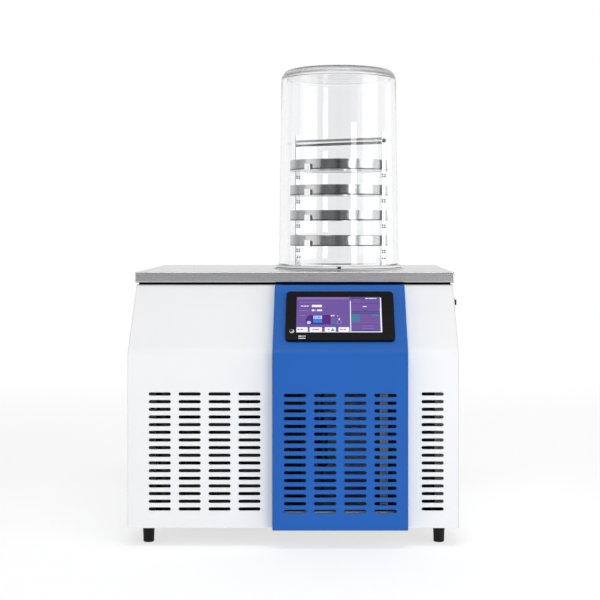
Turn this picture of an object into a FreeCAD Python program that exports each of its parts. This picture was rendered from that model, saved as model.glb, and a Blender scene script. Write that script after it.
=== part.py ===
import FreeCAD, Part
import math
import os

from FreeCAD import Vector

# Benchtop freeze dryer: a sheet-metal cabinet that holds the refrigeration, a cold trap sunk in
# its stainless worktop, and a clear bell jar over a rack of sample trays.
# Millimetres. +Z is up, +X is to the right of someone facing the front, +Y runs to the back.
# The origin is on the floor, under the middle of the machine's overall box.

# ---- driving dimensions ------------------------------------------------------------------
cabinet_width = 600.0
cabinet_depth = 563.0        # lower front face to rear face
ground_clearance = 34.0      # floor to the underside of the cabinet
bend_height = 351.0          # where the front starts to lean back
body_top = 469.0             # top edge of the painted panels
slope_angle = 45.0
worktop_gap = 4.0            # painted panels' top edge to the worktop's skirt
worktop_overhang = 5.0       # worktop's front edge ahead of the slope's top
worktop_side = 2.5           # worktop's sides beyond the cabinet's
worktop_skirt = 20.0
worktop_hem = 8.0
rear_reach = 38.0            # how far the rear connections stand behind the cabinet

panel_sheet = 1.2
frame_sheet = 1.5
bend_radius = 2.5
slope_bend_radius = 25.0     # where the front leans back
side_bend_radius = 2.0
seam = 0.3                   # gap between neighbouring sheets
flange = 12.0                # inward fold along a panel's edge

cover_left = -37.0           # the proud centre cover
cover_width = 244.0
cover_proud = 21.0
cover_overlap = 15.0         # how far the side panels run in behind the cover

slot_length = 40.0
slot_width = 6.0
slot_rows = 16
slot_row_pitch = 13.85
slot_column_pitch = 54.0
slot_columns = 4             # on the left panel and on the cover; the right panel has one
slot_rise = 35.0             # cabinet's underside to the lowest row
left_slot_margin = 59.0      # panel's outer edge to the middle of its first column
cover_slot_margin = 41.0
right_slot_margin = 48.0

side_vent_columns = 3
side_vent_rows = 5
side_vent_pitch = 27.7
side_vent_inset = 183.0      # rear face to the first column
side_vent_rise = 76.0
back_vent_length = 120.0
back_vent_width = 8.0
back_vent_columns = 2
back_vent_rows = 10
back_vent_pitch = 20.0
back_vent_spacing = 140.0
back_vent_inset = 125.0      # left side to the first column
back_vent_rise = 66.0

display_width = 199.0
display_height = 117.5
display_start = 28.0         # from the bend up the slope to the bezel's lower edge
display_thick = 7.0
display_corner = 8.0
screen_width = 156.5
screen_height = 86.0
screen_left = 19.6           # bezel's left edge to the screen
screen_bottom = 17.3
screen_recess = 0.6
screen_thick = 3.0
bezel_round = 1.5
housing_margin = 7.0         # how far the housing stands in from the bezel's edge
housing_depth = 30.0
housing_corner = 3.0
clamp_width = 10.0
clamp_reach = 6.0
clamp_depth = 15.0
clamp_inset = 20.0
fit = 0.3                    # clearance round a part that seats in a hole or pocket

foot_radius = 10.5
foot_inset_x = 33.0
foot_inset_y = 46.0
pan_flange = 30.0            # top of the base pan's flanges above the cabinet's underside
pan_clearance = 1.5          # frame to the pan's flanges, clear of their bends
post_leg = 30.0
post_wall = 2.0
rail_width = 20.0
frame_clearance = 2.0        # frame to the panels' folded edges

trap_land = 13.0             # trap's mouth to the gasket
trap_depth = 203.0
trap_wall = 2.0
rim_border = 4.0             # metal rim beyond the gasket
rim_thick = 2.0
gasket_thick = 3.0
gasket_width = 16.0
gasket_lip = 2.0
gasket_lip_thick = 2.5
gasket_border = 2.5          # gasket beyond the jar's foot
foam_thick = 42.0

jar_x = 85.0
jar_play = 7.5               # rack to the jar's wall at its crown
jar_draft = 5.0              # how far the wall spreads from crown to flare
jar_foot_step = 2.5          # foot's edge beyond the wall
jar_height = 403.0
jar_wall = 8.0
jar_crown = 18.0
jar_corner = 15.0
jar_foot_height = 9.0
jar_flare_height = 26.0

rack_turn = -30.0            # the rack as it stands, turned about its axis
tray_radius = 100.0
tray_depth = 20.0
tray_wall = 1.0
tray_count = 4
tray_pitch = 51.2
top_tray_rim = 221.3         # above the worktop
shelf_thick = 1.5
shelf_hub_radius = 52.0
shelf_arm = 14.0
shelf_tab_height = 11.0
shelf_tab_width = 13.0
shelf_tab_offset = 13.0
upright_width = 14.0
upright_thick = 1.5
upright_play = 1.0           # tray to upright
upright_reach = 277.0        # upright's top above the worktop
shelf_fold = 14.0            # folded end of a shelf's arm, down from its underside
rack_base_height = 5.0       # base ring's top above the worktop
rack_base_tab = 28.0         # its tabs' top above the worktop
rack_base_wall = 3.0
upright_round = 3.0
handle_radius = 7.0
handle_height = 260.0        # axis above the worktop

fan_x = -110.0
fan_radius = 98.0
fan_tip_gap = 5.0
fan_blade_count = 5
fan_blade_pitch = 33.0
fan_blade_thick = 1.8
fan_blade_sink = 4.0         # blade's root inside the hub
fan_blade_end = 2.0          # blade's tip short of the fan's radius
fan_root_chord = 26.0
fan_tip_chord = 62.0
fan_hub_radius = 26.0
fan_hub_length = 26.0
fan_hub_inset = 30.0         # hub's front face ahead of the shroud's back
fan_shaft_radius = 4.0
fan_shaft_hold = 20.0        # length of shaft in the hub and in the motor
motor_radius = 36.0
motor_length = 55.0
motor_gap = 10.0             # hub to motor
motor_arm_width = 14.0
motor_arm_thick = 3.0
motor_arm_reach = 8.0        # arm's foot beyond the fan's opening
shaft_play = 0.05
condenser_width = 280.0
condenser_border = 20.0      # fan's opening to the condenser's edge
condenser_depth = 40.0
condenser_standoff = 26.0    # clear space behind the front panel
condenser_foot = 27.0        # pan to the condenser's lowest edge
condenser_tube_count = 9
condenser_tube_height = 3.0
condenser_tube_inset = 10.0  # first tube from the header's end
condenser_tube_depth = 14.0
header_radius = 9.0
fin_gap = 1.0
shroud_depth = 34.0

compressor_inset_x = 115.0   # left side to the pot's axis
compressor_inset_y = 168.0   # rear face to the pot's axis
compressor_radius = 84.0
compressor_body = 190.0
compressor_foot_taper = 20.0
compressor_dome = 34.0
compressor_crown_radius = 39.0
mount_height = 16.0
mount_radius = 13.0
mount_spacing_x = 190.0
mount_spacing_y = 120.0
mount_border = 14.0
foot_plate = 4.0
cover_box_width = 56.0
cover_box_height = 65.0
cover_box_rise = 60.0
cover_box_reach = 26.0
cover_box_sink = 12.0
suction_radius = 5.0
suction_bend = 14.0
liquid_radius = 3.0
liquid_bend = 8.0
liquid_tail_bend = 12.0
discharge_radius = 4.0
discharge_bend = 16.0
discharge_rise = 24.0        # discharge line over the condenser
tail_depth = 12.0            # how far the refrigerant tubes run into the foam
suction_rise = 30.0          # tubes' ends over the trap's floor
liquid_rise = 20.0
drier_radius = 11.0
drier_length = 90.0
drier_neck = 12.0
drier_neck_wall = 1.0
drier_rise = 73.0
drier_gap_x = 22.0
drier_gap_y = 60.0
liquid_outlet_rise = 16.0

plate_width = 140.0
plate_height = 308.0
plate_inset = 10.0           # right side to the plate
plate_foot = 18.0
duct_width = 15.0
duct_depth = 16.0
duct_groove = 2.0
duct_groove_depth = 3.0
duct_left_inset = 19.0
duct_right_inset = 17.0
duct_low_gap = 15.0
duct_high_gap = 10.0
module_step = 6.0            # how far a module's middle stands proud
module_margin = 34.0         # plate's left edge to the modules
supply_size = (74.0, 38.0, 90.0)         # width, depth, height
supply_rise = 33.0
contactor_size = (44.0, 42.0, 70.0)
contactor_rise = 143.0
terminal_size = (8.0, 30.0, 45.0)
terminal_rise = 233.0
terminal_pitch = 8.5
terminal_count = 8
terminal_margin = 36.0

switch_lead = 7.0            # switch's middle ahead of the slope's top
switch_drop = 33.0           # and below the panel's top edge
switch_length = 21.0
switch_height = 15.0
switch_bezel = 2.0
switch_wall = 1.0
switch_depth = 22.0
rocker_half_throw = 10.0
rocker_half_length = 8.0
rocker_half_height = 5.0
rocker_pin = 1.2
rocker_pin_play = 0.2
rocker_sink = 2.5            # rocker's pivot inside the side panel
rocker_end_play = 1.2
rocker_depth = 3.0
rocker_rise = 8.0            # rocker's face above its pivot
rocker_dish = 2.0

port_drop = 63.0             # worktop to the port's axis
port_inner_radius = 12.5
port_outer_radius = 14.0
port_flange_radius = 20.0
port_flange_thick = 3.0
stub_radius = 8.0
stub_reach = 12.0
sensor_gap = 26.0            # gauge's axis behind the foam
sensor_flange_radius = 13.0
sensor_flange_thick = 5.0
sensor_radius = 17.0
sensor_length = 52.0
collar_thick = 3.0
collar_border = 4.0
drain_radius = 5.0
drain_drop = 16.0            # foam's underside to the drain's axis
drain_bend = 18.0
valve_radius = 10.0
valve_length = 24.0          # valve body behind the rear face
valve_inset = 30.0
neck_radius = 6.0
neck_rise = 4.0
lever_setback = 14.0
lever_length = 42.0
lever_half_width = 6.0
lever_thick = 4.0
lever_round = 5.5
stem_radius = 3.0
vent_spacing = 105.0         # port's axis to the vent's
vent_radius = 8.0
vent_reach = 12.0
vent_tube_radius = 4.0
knob_radius = 11.0
knob_length = 16.0
knob_flutes = 6
flute_radius = 3.0
flute_sink = 1.5
inlet_inset = 75.0           # right side to the inlet's middle
inlet_rise = 76.0
inlet_plate = (50.0, 28.0, 3.0)          # width, height, thickness
inlet_corner = 4.0
inlet_body = (28.0, 21.0, 22.0)          # width, height, depth
inlet_cavity = (24.0, 16.0, 16.0)
pin_width = 2.0
pin_height = 4.0
pin_places = ((-7.0, -2.5), (7.0, -2.5), (0.0, 3.5))

# ---- places worked out from them ---------------------------------------------------------
y_front = -(cabinet_depth + rear_reach - cover_proud) / 2
y_back = y_front + cabinet_depth
y_cover = y_front - cover_proud
half_width = cabinet_width / 2
slope_run = (body_top - bend_height) / math.tan(math.radians(slope_angle))
y_slope_top = y_front + slope_run
y_worktop = y_slope_top - worktop_overhang
worktop_height = body_top + worktop_gap + worktop_skirt
cover_right = cover_left + cover_width
cover_middle = cover_left + cover_width / 2
inner_x = half_width - panel_sheet - seam            # inside the side panels
inner_back = y_back - panel_sheet - seam
inner_front = y_front + panel_sheet + seam
pan_bottom = ground_clearance + panel_sheet + seam
pan_top = pan_bottom + frame_sheet
frame_x = inner_x - frame_sheet - pan_clearance      # inside the base pan's flanges
frame_back = inner_back - frame_sheet - pan_clearance
frame_front = y_slope_top + flange + frame_clearance
rail_bottom = body_top - panel_sheet - seam
rail_top = worktop_height - frame_sheet
jar_y = (y_worktop + y_back) / 2
rim_top = worktop_height + rim_thick
jar_base = rim_top + gasket_thick
rack_radius = tray_radius + upright_play             # inner face of the uprights
jar_top_radius = rack_radius + upright_thick + jar_play + jar_wall
jar_neck_radius = jar_top_radius + jar_draft
jar_foot_radius = jar_neck_radius + jar_foot_step
gasket_outer_radius = jar_foot_radius + gasket_border
rim_radius = gasket_outer_radius + rim_border
trap_radius = gasket_outer_radius - gasket_width - trap_land
trap_outer = trap_radius + trap_wall
trap_floor = worktop_height - trap_depth
foam_radius = trap_outer + foam_thick
foam_bottom = trap_floor - trap_wall - seam - foam_thick
jar_axis = Vector(jar_x, jar_y, 0)
port_z = worktop_height - port_drop
port_front = jar_y + trap_outer + seam               # where the port meets the trap's wall
sensor_y = jar_y + foam_radius + sensor_gap
stub_length = port_outer_radius + stub_reach
drain_z = foam_bottom - drain_drop
valve_back = y_back + valve_length
lever_y = y_back + lever_setback
vent_x = jar_x + vent_spacing
inlet_x = half_width - inlet_inset
inlet_z = ground_clearance + inlet_rise
switch_y = y_slope_top - switch_lead
switch_z = body_top - switch_drop
rocker_pivot_x = half_width - rocker_sink
condenser_height = 2 * (fan_radius + fan_tip_gap + condenser_border)
condenser_left = fan_x - condenser_width / 2
condenser_right = fan_x + condenser_width / 2
condenser_front = inner_front + condenser_standoff
condenser_back = condenser_front + condenser_depth
condenser_low = pan_top + condenser_foot
condenser_high = condenser_low + condenser_height
fan_z = condenser_low + condenser_height / 2
tube_first = condenser_low + condenser_tube_inset
tube_pitch = (condenser_height - 2 * condenser_tube_inset) / (condenser_tube_count - 1)
header_y = condenser_front + condenser_depth / 2
header_left = condenser_left + header_radius
header_right = condenser_right - header_radius
shroud_back = condenser_back + shroud_depth
fan_hub_front = shroud_back - fan_hub_inset
fan_plane = fan_hub_front + fan_hub_length / 2
shaft_front = fan_hub_front + fan_hub_length - fan_shaft_hold
motor_front = fan_hub_front + fan_hub_length + motor_gap
shaft_back = motor_front + fan_shaft_hold
compressor_x = compressor_inset_x - half_width
compressor_y = y_back - compressor_inset_y
shell_bottom = pan_top + mount_height + foot_plate
shell_top = shell_bottom + compressor_body
drier_x = condenser_right + drier_gap_x
drier_y = shroud_back + drier_gap_y
drier_low = pan_top + drier_rise
drier_high = drier_low + drier_length
liquid_outlet_z = condenser_low + liquid_outlet_rise
plate_right = half_width - plate_inset
plate_left = plate_right - plate_width
plate_back = frame_front - seam
plate_front = plate_back - frame_sheet
plate_high = pan_top + plate_height
UP = Vector(0, 0, 1)
BACK = Vector(0, 1, 0)
RIGHT = Vector(1, 0, 0)
BEYOND = 5.0                                         # how far a cutting tool runs past a face


# ---- drawing helpers ---------------------------------------------------------------------
def box(x_low, x_high, y_low, y_high, z_low, z_high):
    size = (x_high - x_low, y_high - y_low, z_high - z_low)
    return Part.makeBox(*size, Vector(x_low, y_low, z_low))


def round_corner(before, corner, after, radius):
    """The start, middle and end of the arc that rounds a corner."""
    back = before - corner
    ahead = after - corner
    half = back.getAngle(ahead) / 2
    back.normalize()
    ahead.normalize()
    between = back + ahead
    between.normalize()
    cut = radius / math.tan(half)
    middle = corner + between * (radius / math.sin(half) - radius)
    return corner + back * cut, middle, corner + ahead * cut


def outline(corners, place):
    """A closed wire through corners (u, v, radius), put into space by place(u, v)."""
    flat = [Vector(u, v, 0) for u, v, _ in corners]
    pieces = []
    for i, (_, _, radius) in enumerate(corners):
        if radius == 0:
            pieces.append((flat[i], None, flat[i]))
        else:
            pieces.append(round_corner(flat[i - 1], flat[i], flat[(i + 1) % len(flat)], radius))
    edges = []
    for i, (start, middle, end) in enumerate(pieces):
        if middle is not None:
            points = [place(p.x, p.y) for p in (start, middle, end)]
            edges.append(Part.Arc(*points).toShape())
        following = pieces[(i + 1) % len(pieces)][0]
        if end.distanceToPoint(following) > 1e-6:
            run = place(end.x, end.y), place(following.x, following.y)
            edges.append(Part.LineSegment(*run).toShape())
    return Part.Wire(edges)


def rectangle(u_low, u_high, v_low, v_high, radius=0.0):
    """Four corners for outline()."""
    return [(u_low, v_low, radius), (u_high, v_low, radius),
            (u_high, v_high, radius), (u_low, v_high, radius)]


def prism(corners, place, direction):
    return Part.Face(outline(corners, place)).extrude(direction)


def upright_prism(corners, z_low, z_high):
    """A plan outline in x, y raised from z_low to z_high."""
    return prism(corners, lambda x, y: Vector(x, y, z_low), UP * (z_high - z_low))


def turned(section, x=0.0, y=0.0):
    """A section of (radius, z, corner radius) turned about a vertical axis."""
    face = Part.Face(outline(section, lambda r, z: Vector(x + r, y, z)))
    return face.revolve(Vector(x, y, 0), UP, 360)


def ring(section):
    """A section turned about the jar's axis."""
    return turned(section, jar_x, jar_y)


def rod(start, direction, radius, length):
    return Part.makeCylinder(radius, length, start, direction)


def pipe(points, radius, bend, bore=0.0):
    """A round pipe along straight runs joined by tangent bends."""
    edges = []
    start = points[0]
    for before, corner, after in zip(points, points[1:], points[2:]):
        first, middle, last = round_corner(before, corner, after, bend)
        edges.append(Part.LineSegment(start, first).toShape())
        edges.append(Part.Arc(first, middle, last).toShape())
        start = last
    edges.append(Part.LineSegment(start, points[-1]).toShape())
    path = Part.Wire(edges)
    heading = points[1] - points[0]

    def swept(r):
        section = Part.Wire(Part.makeCircle(r, points[0], heading))
        return path.makePipeShell([section], True, True)

    return swept(radius).cut(swept(bore)) if bore else swept(radius)


def inset(corners, distances):
    """Each edge of a closed (y, z) outline moved inwards, by its own distance.

    The outline runs clockwise seen from +X with y to the right and z up.
    """
    lines = []
    for (y1, z1), (y2, z2), distance in zip(corners, corners[1:] + corners[:1], distances):
        length = math.hypot(y2 - y1, z2 - z1)
        across = (z2 - z1) / length, -(y2 - y1) / length
        lines.append((*across, across[0] * y1 + across[1] * z1 + distance))
    moved = []
    for (a, b, c), (d, e, f) in zip(lines[-1:] + lines[:-1], lines):
        det = a * e - b * d
        moved.append(((c * e - b * f) / det, (a * f - c * d) / det))
    return moved


def fold_radii(corners, walls):
    """The radius of each corner: wide where the front leans back, sharp at a sheet's free edge."""
    radii = []
    for i, (_, z) in enumerate(corners):
        if z == bend_height and walls[i - 1] == walls[i]:
            radii.append(slope_bend_radius)
        else:
            radii.append(bend_radius if walls[i - 1] and walls[i] else 0.0)
    return radii


def inner_radii(radii, thickness):
    return [max(radius - thickness, 0.0) for radius in radii]


def bent_block(corners, walls, x_low, x_high, radii, side_bend, closed):
    """A solid with the outer form of a folded sheet: bends rounded, closed sides rounded too."""
    section = [(y, z, radius) for (y, z), radius in zip(corners, radii)]
    block = prism(section, lambda y, z: Vector(x_low, y, z), RIGHT * (x_high - x_low))
    sides = [x for x, shut in ((x_low, closed[0]), (x_high, closed[1])) if shut]
    open_edges = []
    open_bends = []
    for i, wall in enumerate(walls):
        if not wall:
            ends = corners[i], corners[(i + 1) % len(corners)]
            open_edges.append([Vector(0, *end) for end in ends])
            if not walls[i - 1]:
                open_bends.append((Vector(0, *corners[i]), radii[i]))

    def on_open_edge(point):
        flat = Vector(0, point.y, point.z)
        return (any(flat.distanceToLine(a, b - a) < 0.01 for a, b in open_edges)
                or any(flat.distanceToPoint(corner) < radius for corner, radius in open_bends))

    rims = [e for e in block.Edges
            if any(abs(v.X - side) < 0.01 for side in sides for v in e.Vertexes[:1])
            and all(abs(v.X - e.Vertexes[0].X) < 0.01 for v in e.Vertexes)
            and not on_open_edge(e.CenterOfMass)]
    return block.makeFillet(side_bend, rims) if rims else block


def folded_panel(corners, walls, x_low, x_high, thickness, closed=(False, False)):
    """A sheet folded to a (y, z) outline; walls says which edges carry sheet."""
    radii = fold_radii(corners, walls)
    outer = bent_block(corners, walls, x_low, x_high, radii, side_bend_radius, closed)
    gaps = [thickness if wall else -BEYOND for wall in walls]
    inner_low = x_low + (thickness if closed[0] else -BEYOND)
    inner_high = x_high - (thickness if closed[1] else -BEYOND)
    inner = bent_block(inset(corners, gaps), walls, inner_low, inner_high,
                       inner_radii(radii, thickness), side_bend_radius - thickness, closed)
    return outer.cut(inner)


def slot_outline(u, v, length, width):
    """A slot about u, v whose ends are half octagons drawn round a half circle."""
    high = width / 2
    chamfer = width * (1 - math.sqrt(0.5))
    side = length / 2
    corners = [(-side, chamfer - high), (chamfer - side, -high), (side - chamfer, -high),
               (side, chamfer - high), (side, high - chamfer), (side - chamfer, high),
               (chamfer - side, high), (-side, high - chamfer)]
    return [(u + du, v + dv, 0) for du, dv in corners]


def slot_field(columns, rows, y_low, y_high, length=slot_length, width=slot_width):
    """Slots through a sheet that faces the front or back."""
    tools = []
    for x in columns:
        for z in rows:
            tools.append(prism(slot_outline(x, z, length, width),
                               lambda u, v: Vector(u, y_low, v), BACK * (y_high - y_low)))
    return Part.makeCompound(tools)


def steps(first, pitch, count):
    return [first + i * pitch for i in range(count)]


def on_slope(shape):
    """Lay a shape drawn flat (x across, y up the slope, z outwards) on the cover's slope."""
    shape = shape.copy()
    shape.rotate(Vector(0, 0, 0), RIGHT, slope_angle)
    shape.translate(Vector(0, y_cover, bend_height))
    return shape


def in_rack(shape):
    """Move a shape drawn about the Z axis to the rack's place and turn."""
    shape = shape.copy()
    shape.rotate(Vector(0, 0, 0), UP, rack_turn)
    shape.translate(jar_axis)
    return shape


# ---- cabinet -----------------------------------------------------------------------------
front_rows = steps(ground_clearance + slot_rise, slot_row_pitch, slot_rows)


def front_outline(front, overlap):
    """The (y, z) outline of the leaning front: underside, front, slope, top, open back."""
    top_y = front + slope_run
    return [(front + overlap, ground_clearance), (front, ground_clearance),
            (front, bend_height), (top_y, body_top), (top_y + flange, body_top)]


def front_panel(x_low, x_high, columns):
    panel = folded_panel(front_outline(y_front, flange), [True, True, True, True, False],
                         x_low, x_high, panel_sheet)
    return panel.cut(slot_field(columns, front_rows, y_front - 1, y_front + panel_sheet + 1))


def front_cover():
    """The proud centre cover: a folded tray with side walls, slots and the display opening."""
    outer = [(y_front - seam, ground_clearance), (y_cover, ground_clearance),
             (y_cover, bend_height), (y_cover + slope_run, body_top),
             (y_front + slope_run - seam, body_top), (y_front - seam, bend_height)]
    cover = folded_panel(outer, [True, True, True, True, False, False],
                         cover_left, cover_right, panel_sheet, closed=(True, True))
    columns = steps(cover_left + cover_slot_margin, slot_column_pitch, slot_columns)
    cover = cover.cut(slot_field(columns, front_rows, y_cover - 1, y_cover + panel_sheet + 1))
    left, right, low, high = housing_edges()
    window = upright_prism(rectangle(left - fit, right + fit, low - fit, high + fit),
                           -panel_sheet - 1, 1)
    return cover.cut(on_slope(window))


def side_panel(side):
    """A flat side with folded top and bottom edges; side is -1 left or +1 right."""
    corners = [(y_back, ground_clearance), (y_front, ground_clearance),
               (y_front, bend_height), (y_slope_top, body_top), (y_back, body_top)]
    if side < 0:
        x_low, x_high, closed = -half_width, -half_width + flange, (True, False)
    else:
        x_low, x_high, closed = half_width - flange, half_width, (False, True)
    walls = [True, False, False, True, False]
    radii = fold_radii(corners, walls)
    outer = bent_block(corners, walls, x_low, x_high, radii, side_bend_radius, closed)
    gaps = [panel_sheet, -BEYOND, -BEYOND, panel_sheet, -BEYOND]
    web = panel_sheet * side
    inner = bent_block(inset(corners, gaps), walls,
                       x_low - (BEYOND if side > 0 else -panel_sheet),
                       x_high + (BEYOND if side < 0 else -panel_sheet),
                       inner_radii(radii, panel_sheet), side_bend_radius - panel_sheet, closed)
    # the folds stop short of the front panels' and the rear panel's own folds
    fold = sorted((side * (half_width - flange - 1), side * half_width - web))
    front_end = box(*fold, y_front - 1, y_slope_top + flange + seam,
                    ground_clearance - 1, body_top + 1)
    back_end = box(*fold, y_back - flange - seam, y_back + 1, ground_clearance - 1, body_top + 1)
    panel = outer.cut(inner).cut(front_end).cut(back_end)
    tools = []
    start = side * half_width - 2 * web
    for y in steps(y_back - side_vent_inset, slot_column_pitch, side_vent_columns):
        for z in steps(ground_clearance + side_vent_rise, side_vent_pitch, side_vent_rows):
            tools.append(prism(slot_outline(y, z, slot_length, slot_width),
                               lambda u, v: Vector(start, u, v), RIGHT * 4 * web))
    panel = panel.cut(Part.makeCompound(tools))
    if side > 0:
        panel = panel.cut(switch_block(*switch_body(fit), half_width - BEYOND,
                                       half_width + BEYOND))
    return panel


def back_panel():
    corners = [(y_back - flange, ground_clearance), (y_back - flange, body_top),
               (y_back, body_top), (y_back, ground_clearance)]
    panel = folded_panel(corners, [False, True, True, True],
                         -inner_x, inner_x, panel_sheet)
    columns = steps(back_vent_inset - half_width, back_vent_spacing, back_vent_columns)
    rows = steps(ground_clearance + back_vent_rise, back_vent_pitch, back_vent_rows)
    panel = panel.cut(slot_field(columns, rows, y_back - panel_sheet - 1, y_back + 1,
                                 back_vent_length, back_vent_width))
    through = y_back - panel_sheet - 1
    width, height, _ = inlet_body
    holes = [rod(Vector(jar_x, through, port_z), BACK, port_outer_radius + fit, BEYOND),
             rod(Vector(jar_x, through, drain_z), BACK, valve_radius + fit, BEYOND),
             rod(Vector(vent_x, through, port_z), BACK, vent_radius + fit, BEYOND),
             box(inlet_x - width / 2 - fit, inlet_x + width / 2 + fit, through, y_back + 1,
                 inlet_z - height / 2 - fit, inlet_z + height / 2 + fit)]
    return panel.cut(Part.makeCompound(holes))


def base_pan():
    """The floor of the cabinet with four upturned flanges."""
    top = ground_clearance + pan_flange
    corners = [(inner_back, pan_bottom), (inner_front, pan_bottom),
               (inner_front, top), (inner_back, top)]
    return folded_panel(corners, [True, True, False, True], -inner_x, inner_x,
                        frame_sheet, closed=(True, True))


def angle_post(x, y, to_x, to_y):
    """An angle-section post with its corner at x, y and legs running to_x and to_y."""
    leg_x, leg_y = to_x * post_leg, to_y * post_leg
    wall_x, wall_y = to_x * post_wall, to_y * post_wall
    corners = [(x, y, 0), (x + leg_x, y, 0), (x + leg_x, y + wall_y, 0),
               (x + wall_x, y + wall_y, 0), (x + wall_x, y + leg_y, 0), (x, y + leg_y, 0)]
    return upright_prism(corners, pan_top, rail_bottom)


def corner_posts():
    return Part.makeCompound([
        angle_post(-frame_x, frame_front, 1, 1), angle_post(frame_x, frame_front, -1, 1),
        angle_post(-frame_x, frame_back, 1, -1), angle_post(frame_x, frame_back, -1, -1)])


def top_rails():
    """Four square tubes under the worktop."""
    def tube(x_low, x_high, y_low, y_high, along_x):
        whole = box(x_low, x_high, y_low, y_high, rail_bottom, rail_top)
        dx, dy = (-1, frame_sheet) if along_x else (frame_sheet, -1)
        return whole.cut(box(x_low + dx, x_high - dx, y_low + dy, y_high - dy,
                             rail_bottom + frame_sheet, rail_top - frame_sheet))

    high_x = half_width - flange - frame_clearance
    low_x = high_x - rail_width
    back = y_back - flange - frame_clearance
    side_front = frame_front + rail_width
    side_back = back - rail_width
    return Part.makeCompound([
        tube(-high_x, high_x, frame_front, side_front, True),
        tube(-high_x, high_x, side_back, back, True),
        tube(-high_x, -low_x, side_front, side_back, False),
        tube(low_x, high_x, side_front, side_back, False)])


def worktop():
    """Stainless top with a skirt turned down all round and hemmed, and the trap's hole."""
    bottom = worktop_height - worktop_skirt
    corners = [(y_back, bottom), (y_worktop, bottom),
               (y_worktop, worktop_height), (y_back, worktop_height)]
    walls = [True] * 4
    radii = fold_radii(corners, walls)
    side = half_width + worktop_side
    top = bent_block(corners, walls, -side, side, radii, side_bend_radius, (True, True))
    inner = [(y_back - frame_sheet, bottom + frame_sheet),
             (y_worktop + frame_sheet, bottom + frame_sheet),
             (y_worktop + frame_sheet, worktop_height - frame_sheet),
             (y_back - frame_sheet, worktop_height - frame_sheet)]
    top = top.cut(bent_block(inner, walls, frame_sheet - side, side - frame_sheet,
                             inner_radii(radii, frame_sheet), side_bend_radius - frame_sheet,
                             (True, True)))
    top = top.cut(box(worktop_hem - side, side - worktop_hem,
                      y_worktop + worktop_hem, y_back - worktop_hem,
                      bottom - 1, bottom + frame_sheet + 1))
    return top.cut(rod(jar_axis + UP * bottom, UP, trap_outer + fit, 2 * worktop_skirt))


def rubber_feet():
    xs = foot_inset_x - half_width, half_width - foot_inset_x
    ys = y_front + foot_inset_y, y_back - foot_inset_y
    return Part.makeCompound([rod(Vector(x, y, 0), UP, foot_radius, pan_bottom)
                              for x in xs for y in ys])


# ---- display -----------------------------------------------------------------------------
def housing_edges():
    """Left, right, lower and upper edges of the housing behind the bezel."""
    half = display_width / 2 - housing_margin
    return (cover_middle - half, cover_middle + half, display_start + housing_margin,
            display_start + display_height - housing_margin)


def screen_edges(extra=0.0):
    left = cover_middle - display_width / 2 + screen_left
    low = display_start + screen_bottom
    return left - extra, left + screen_width + extra, low - extra, low + screen_height + extra


def display_bezel():
    left = cover_middle - display_width / 2
    bezel = upright_prism(rectangle(left, left + display_width, display_start,
                                    display_start + display_height, display_corner),
                          0, display_thick)
    rim = [e for e in bezel.Edges
           if all(abs(v.Z - display_thick) < 0.01 for v in e.Vertexes)]
    bezel = bezel.makeFillet(bezel_round, rim)
    pocket = upright_prism(rectangle(*screen_edges(fit)),
                           display_thick - screen_recess - screen_thick, display_thick + 1)
    return on_slope(bezel.cut(pocket))


def display_screen():
    top = display_thick - screen_recess
    return on_slope(upright_prism(rectangle(*screen_edges()), top - screen_thick, top))


def display_housing():
    return on_slope(upright_prism(rectangle(*housing_edges(), housing_corner),
                                  -housing_depth, -seam))


def display_clamps():
    """Four screw clamps that pull the bezel down on the cover from behind."""
    left, right, low, high = housing_edges()
    clamps = []
    for x, out in ((left, -1), (right, 1)):
        x_low, x_high = sorted((x, x + out * clamp_reach))
        for t in (low + clamp_inset, high - clamp_inset):
            clamps.append(box(x_low, x_high, t - clamp_width / 2, t + clamp_width / 2,
                              -panel_sheet - clamp_depth, -panel_sheet))
    return on_slope(Part.makeCompound(clamps))


# ---- power switch ------------------------------------------------------------------------
def switch_body(extra=0.0):
    """Half length and half height of the switch's body."""
    return (switch_length / 2 - switch_wall + extra, switch_height / 2 - switch_wall + extra)


def switch_block(half_y, half_z, x_low, x_high):
    return box(x_low, x_high, switch_y - half_y, switch_y + half_y,
               switch_z - half_z, switch_z + half_z)


def switch_frame():
    bezel = switch_block(switch_length / 2, switch_height / 2, half_width,
                         half_width + switch_bezel)
    body = switch_block(*switch_body(), half_width - switch_depth, half_width)
    recess = switch_block(rocker_half_length + rocker_end_play, rocker_half_height + fit,
                          rocker_pivot_x - 2 * rocker_depth, half_width + BEYOND)
    pins = rod(Vector(rocker_pivot_x, switch_y, switch_z - rocker_half_height - rocker_pin),
               UP, rocker_pin + shaft_play, 2 * (rocker_half_height + rocker_pin))
    return bezel.fuse(body).removeSplitter().cut(recess).cut(pins)


def switch_rocker():
    """A rocker with a dished face, resting with its rear end out."""
    half = rocker_half_length
    corners = [(rocker_rise, half, 0.6), (rocker_rise - rocker_dish, 0, 3.0),
               (rocker_rise, -half, 0.6), (0, -half, 0),
               (-rocker_depth, -half / 2, 0), (-rocker_depth, half / 2, 0), (0, half, 0)]
    low = switch_z - rocker_half_height
    rocker = upright_prism([(rocker_pivot_x + x, switch_y + y, r) for x, y, r in corners],
                           low, switch_z + rocker_half_height)
    reach = rocker_pin - rocker_pin_play
    pins = rod(Vector(rocker_pivot_x, switch_y, low - reach), UP, rocker_pin,
               2 * (rocker_half_height + reach))
    rocker = rocker.fuse(pins)
    rocker.rotate(Vector(rocker_pivot_x, switch_y, 0), UP, -rocker_half_throw)
    return rocker


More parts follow.
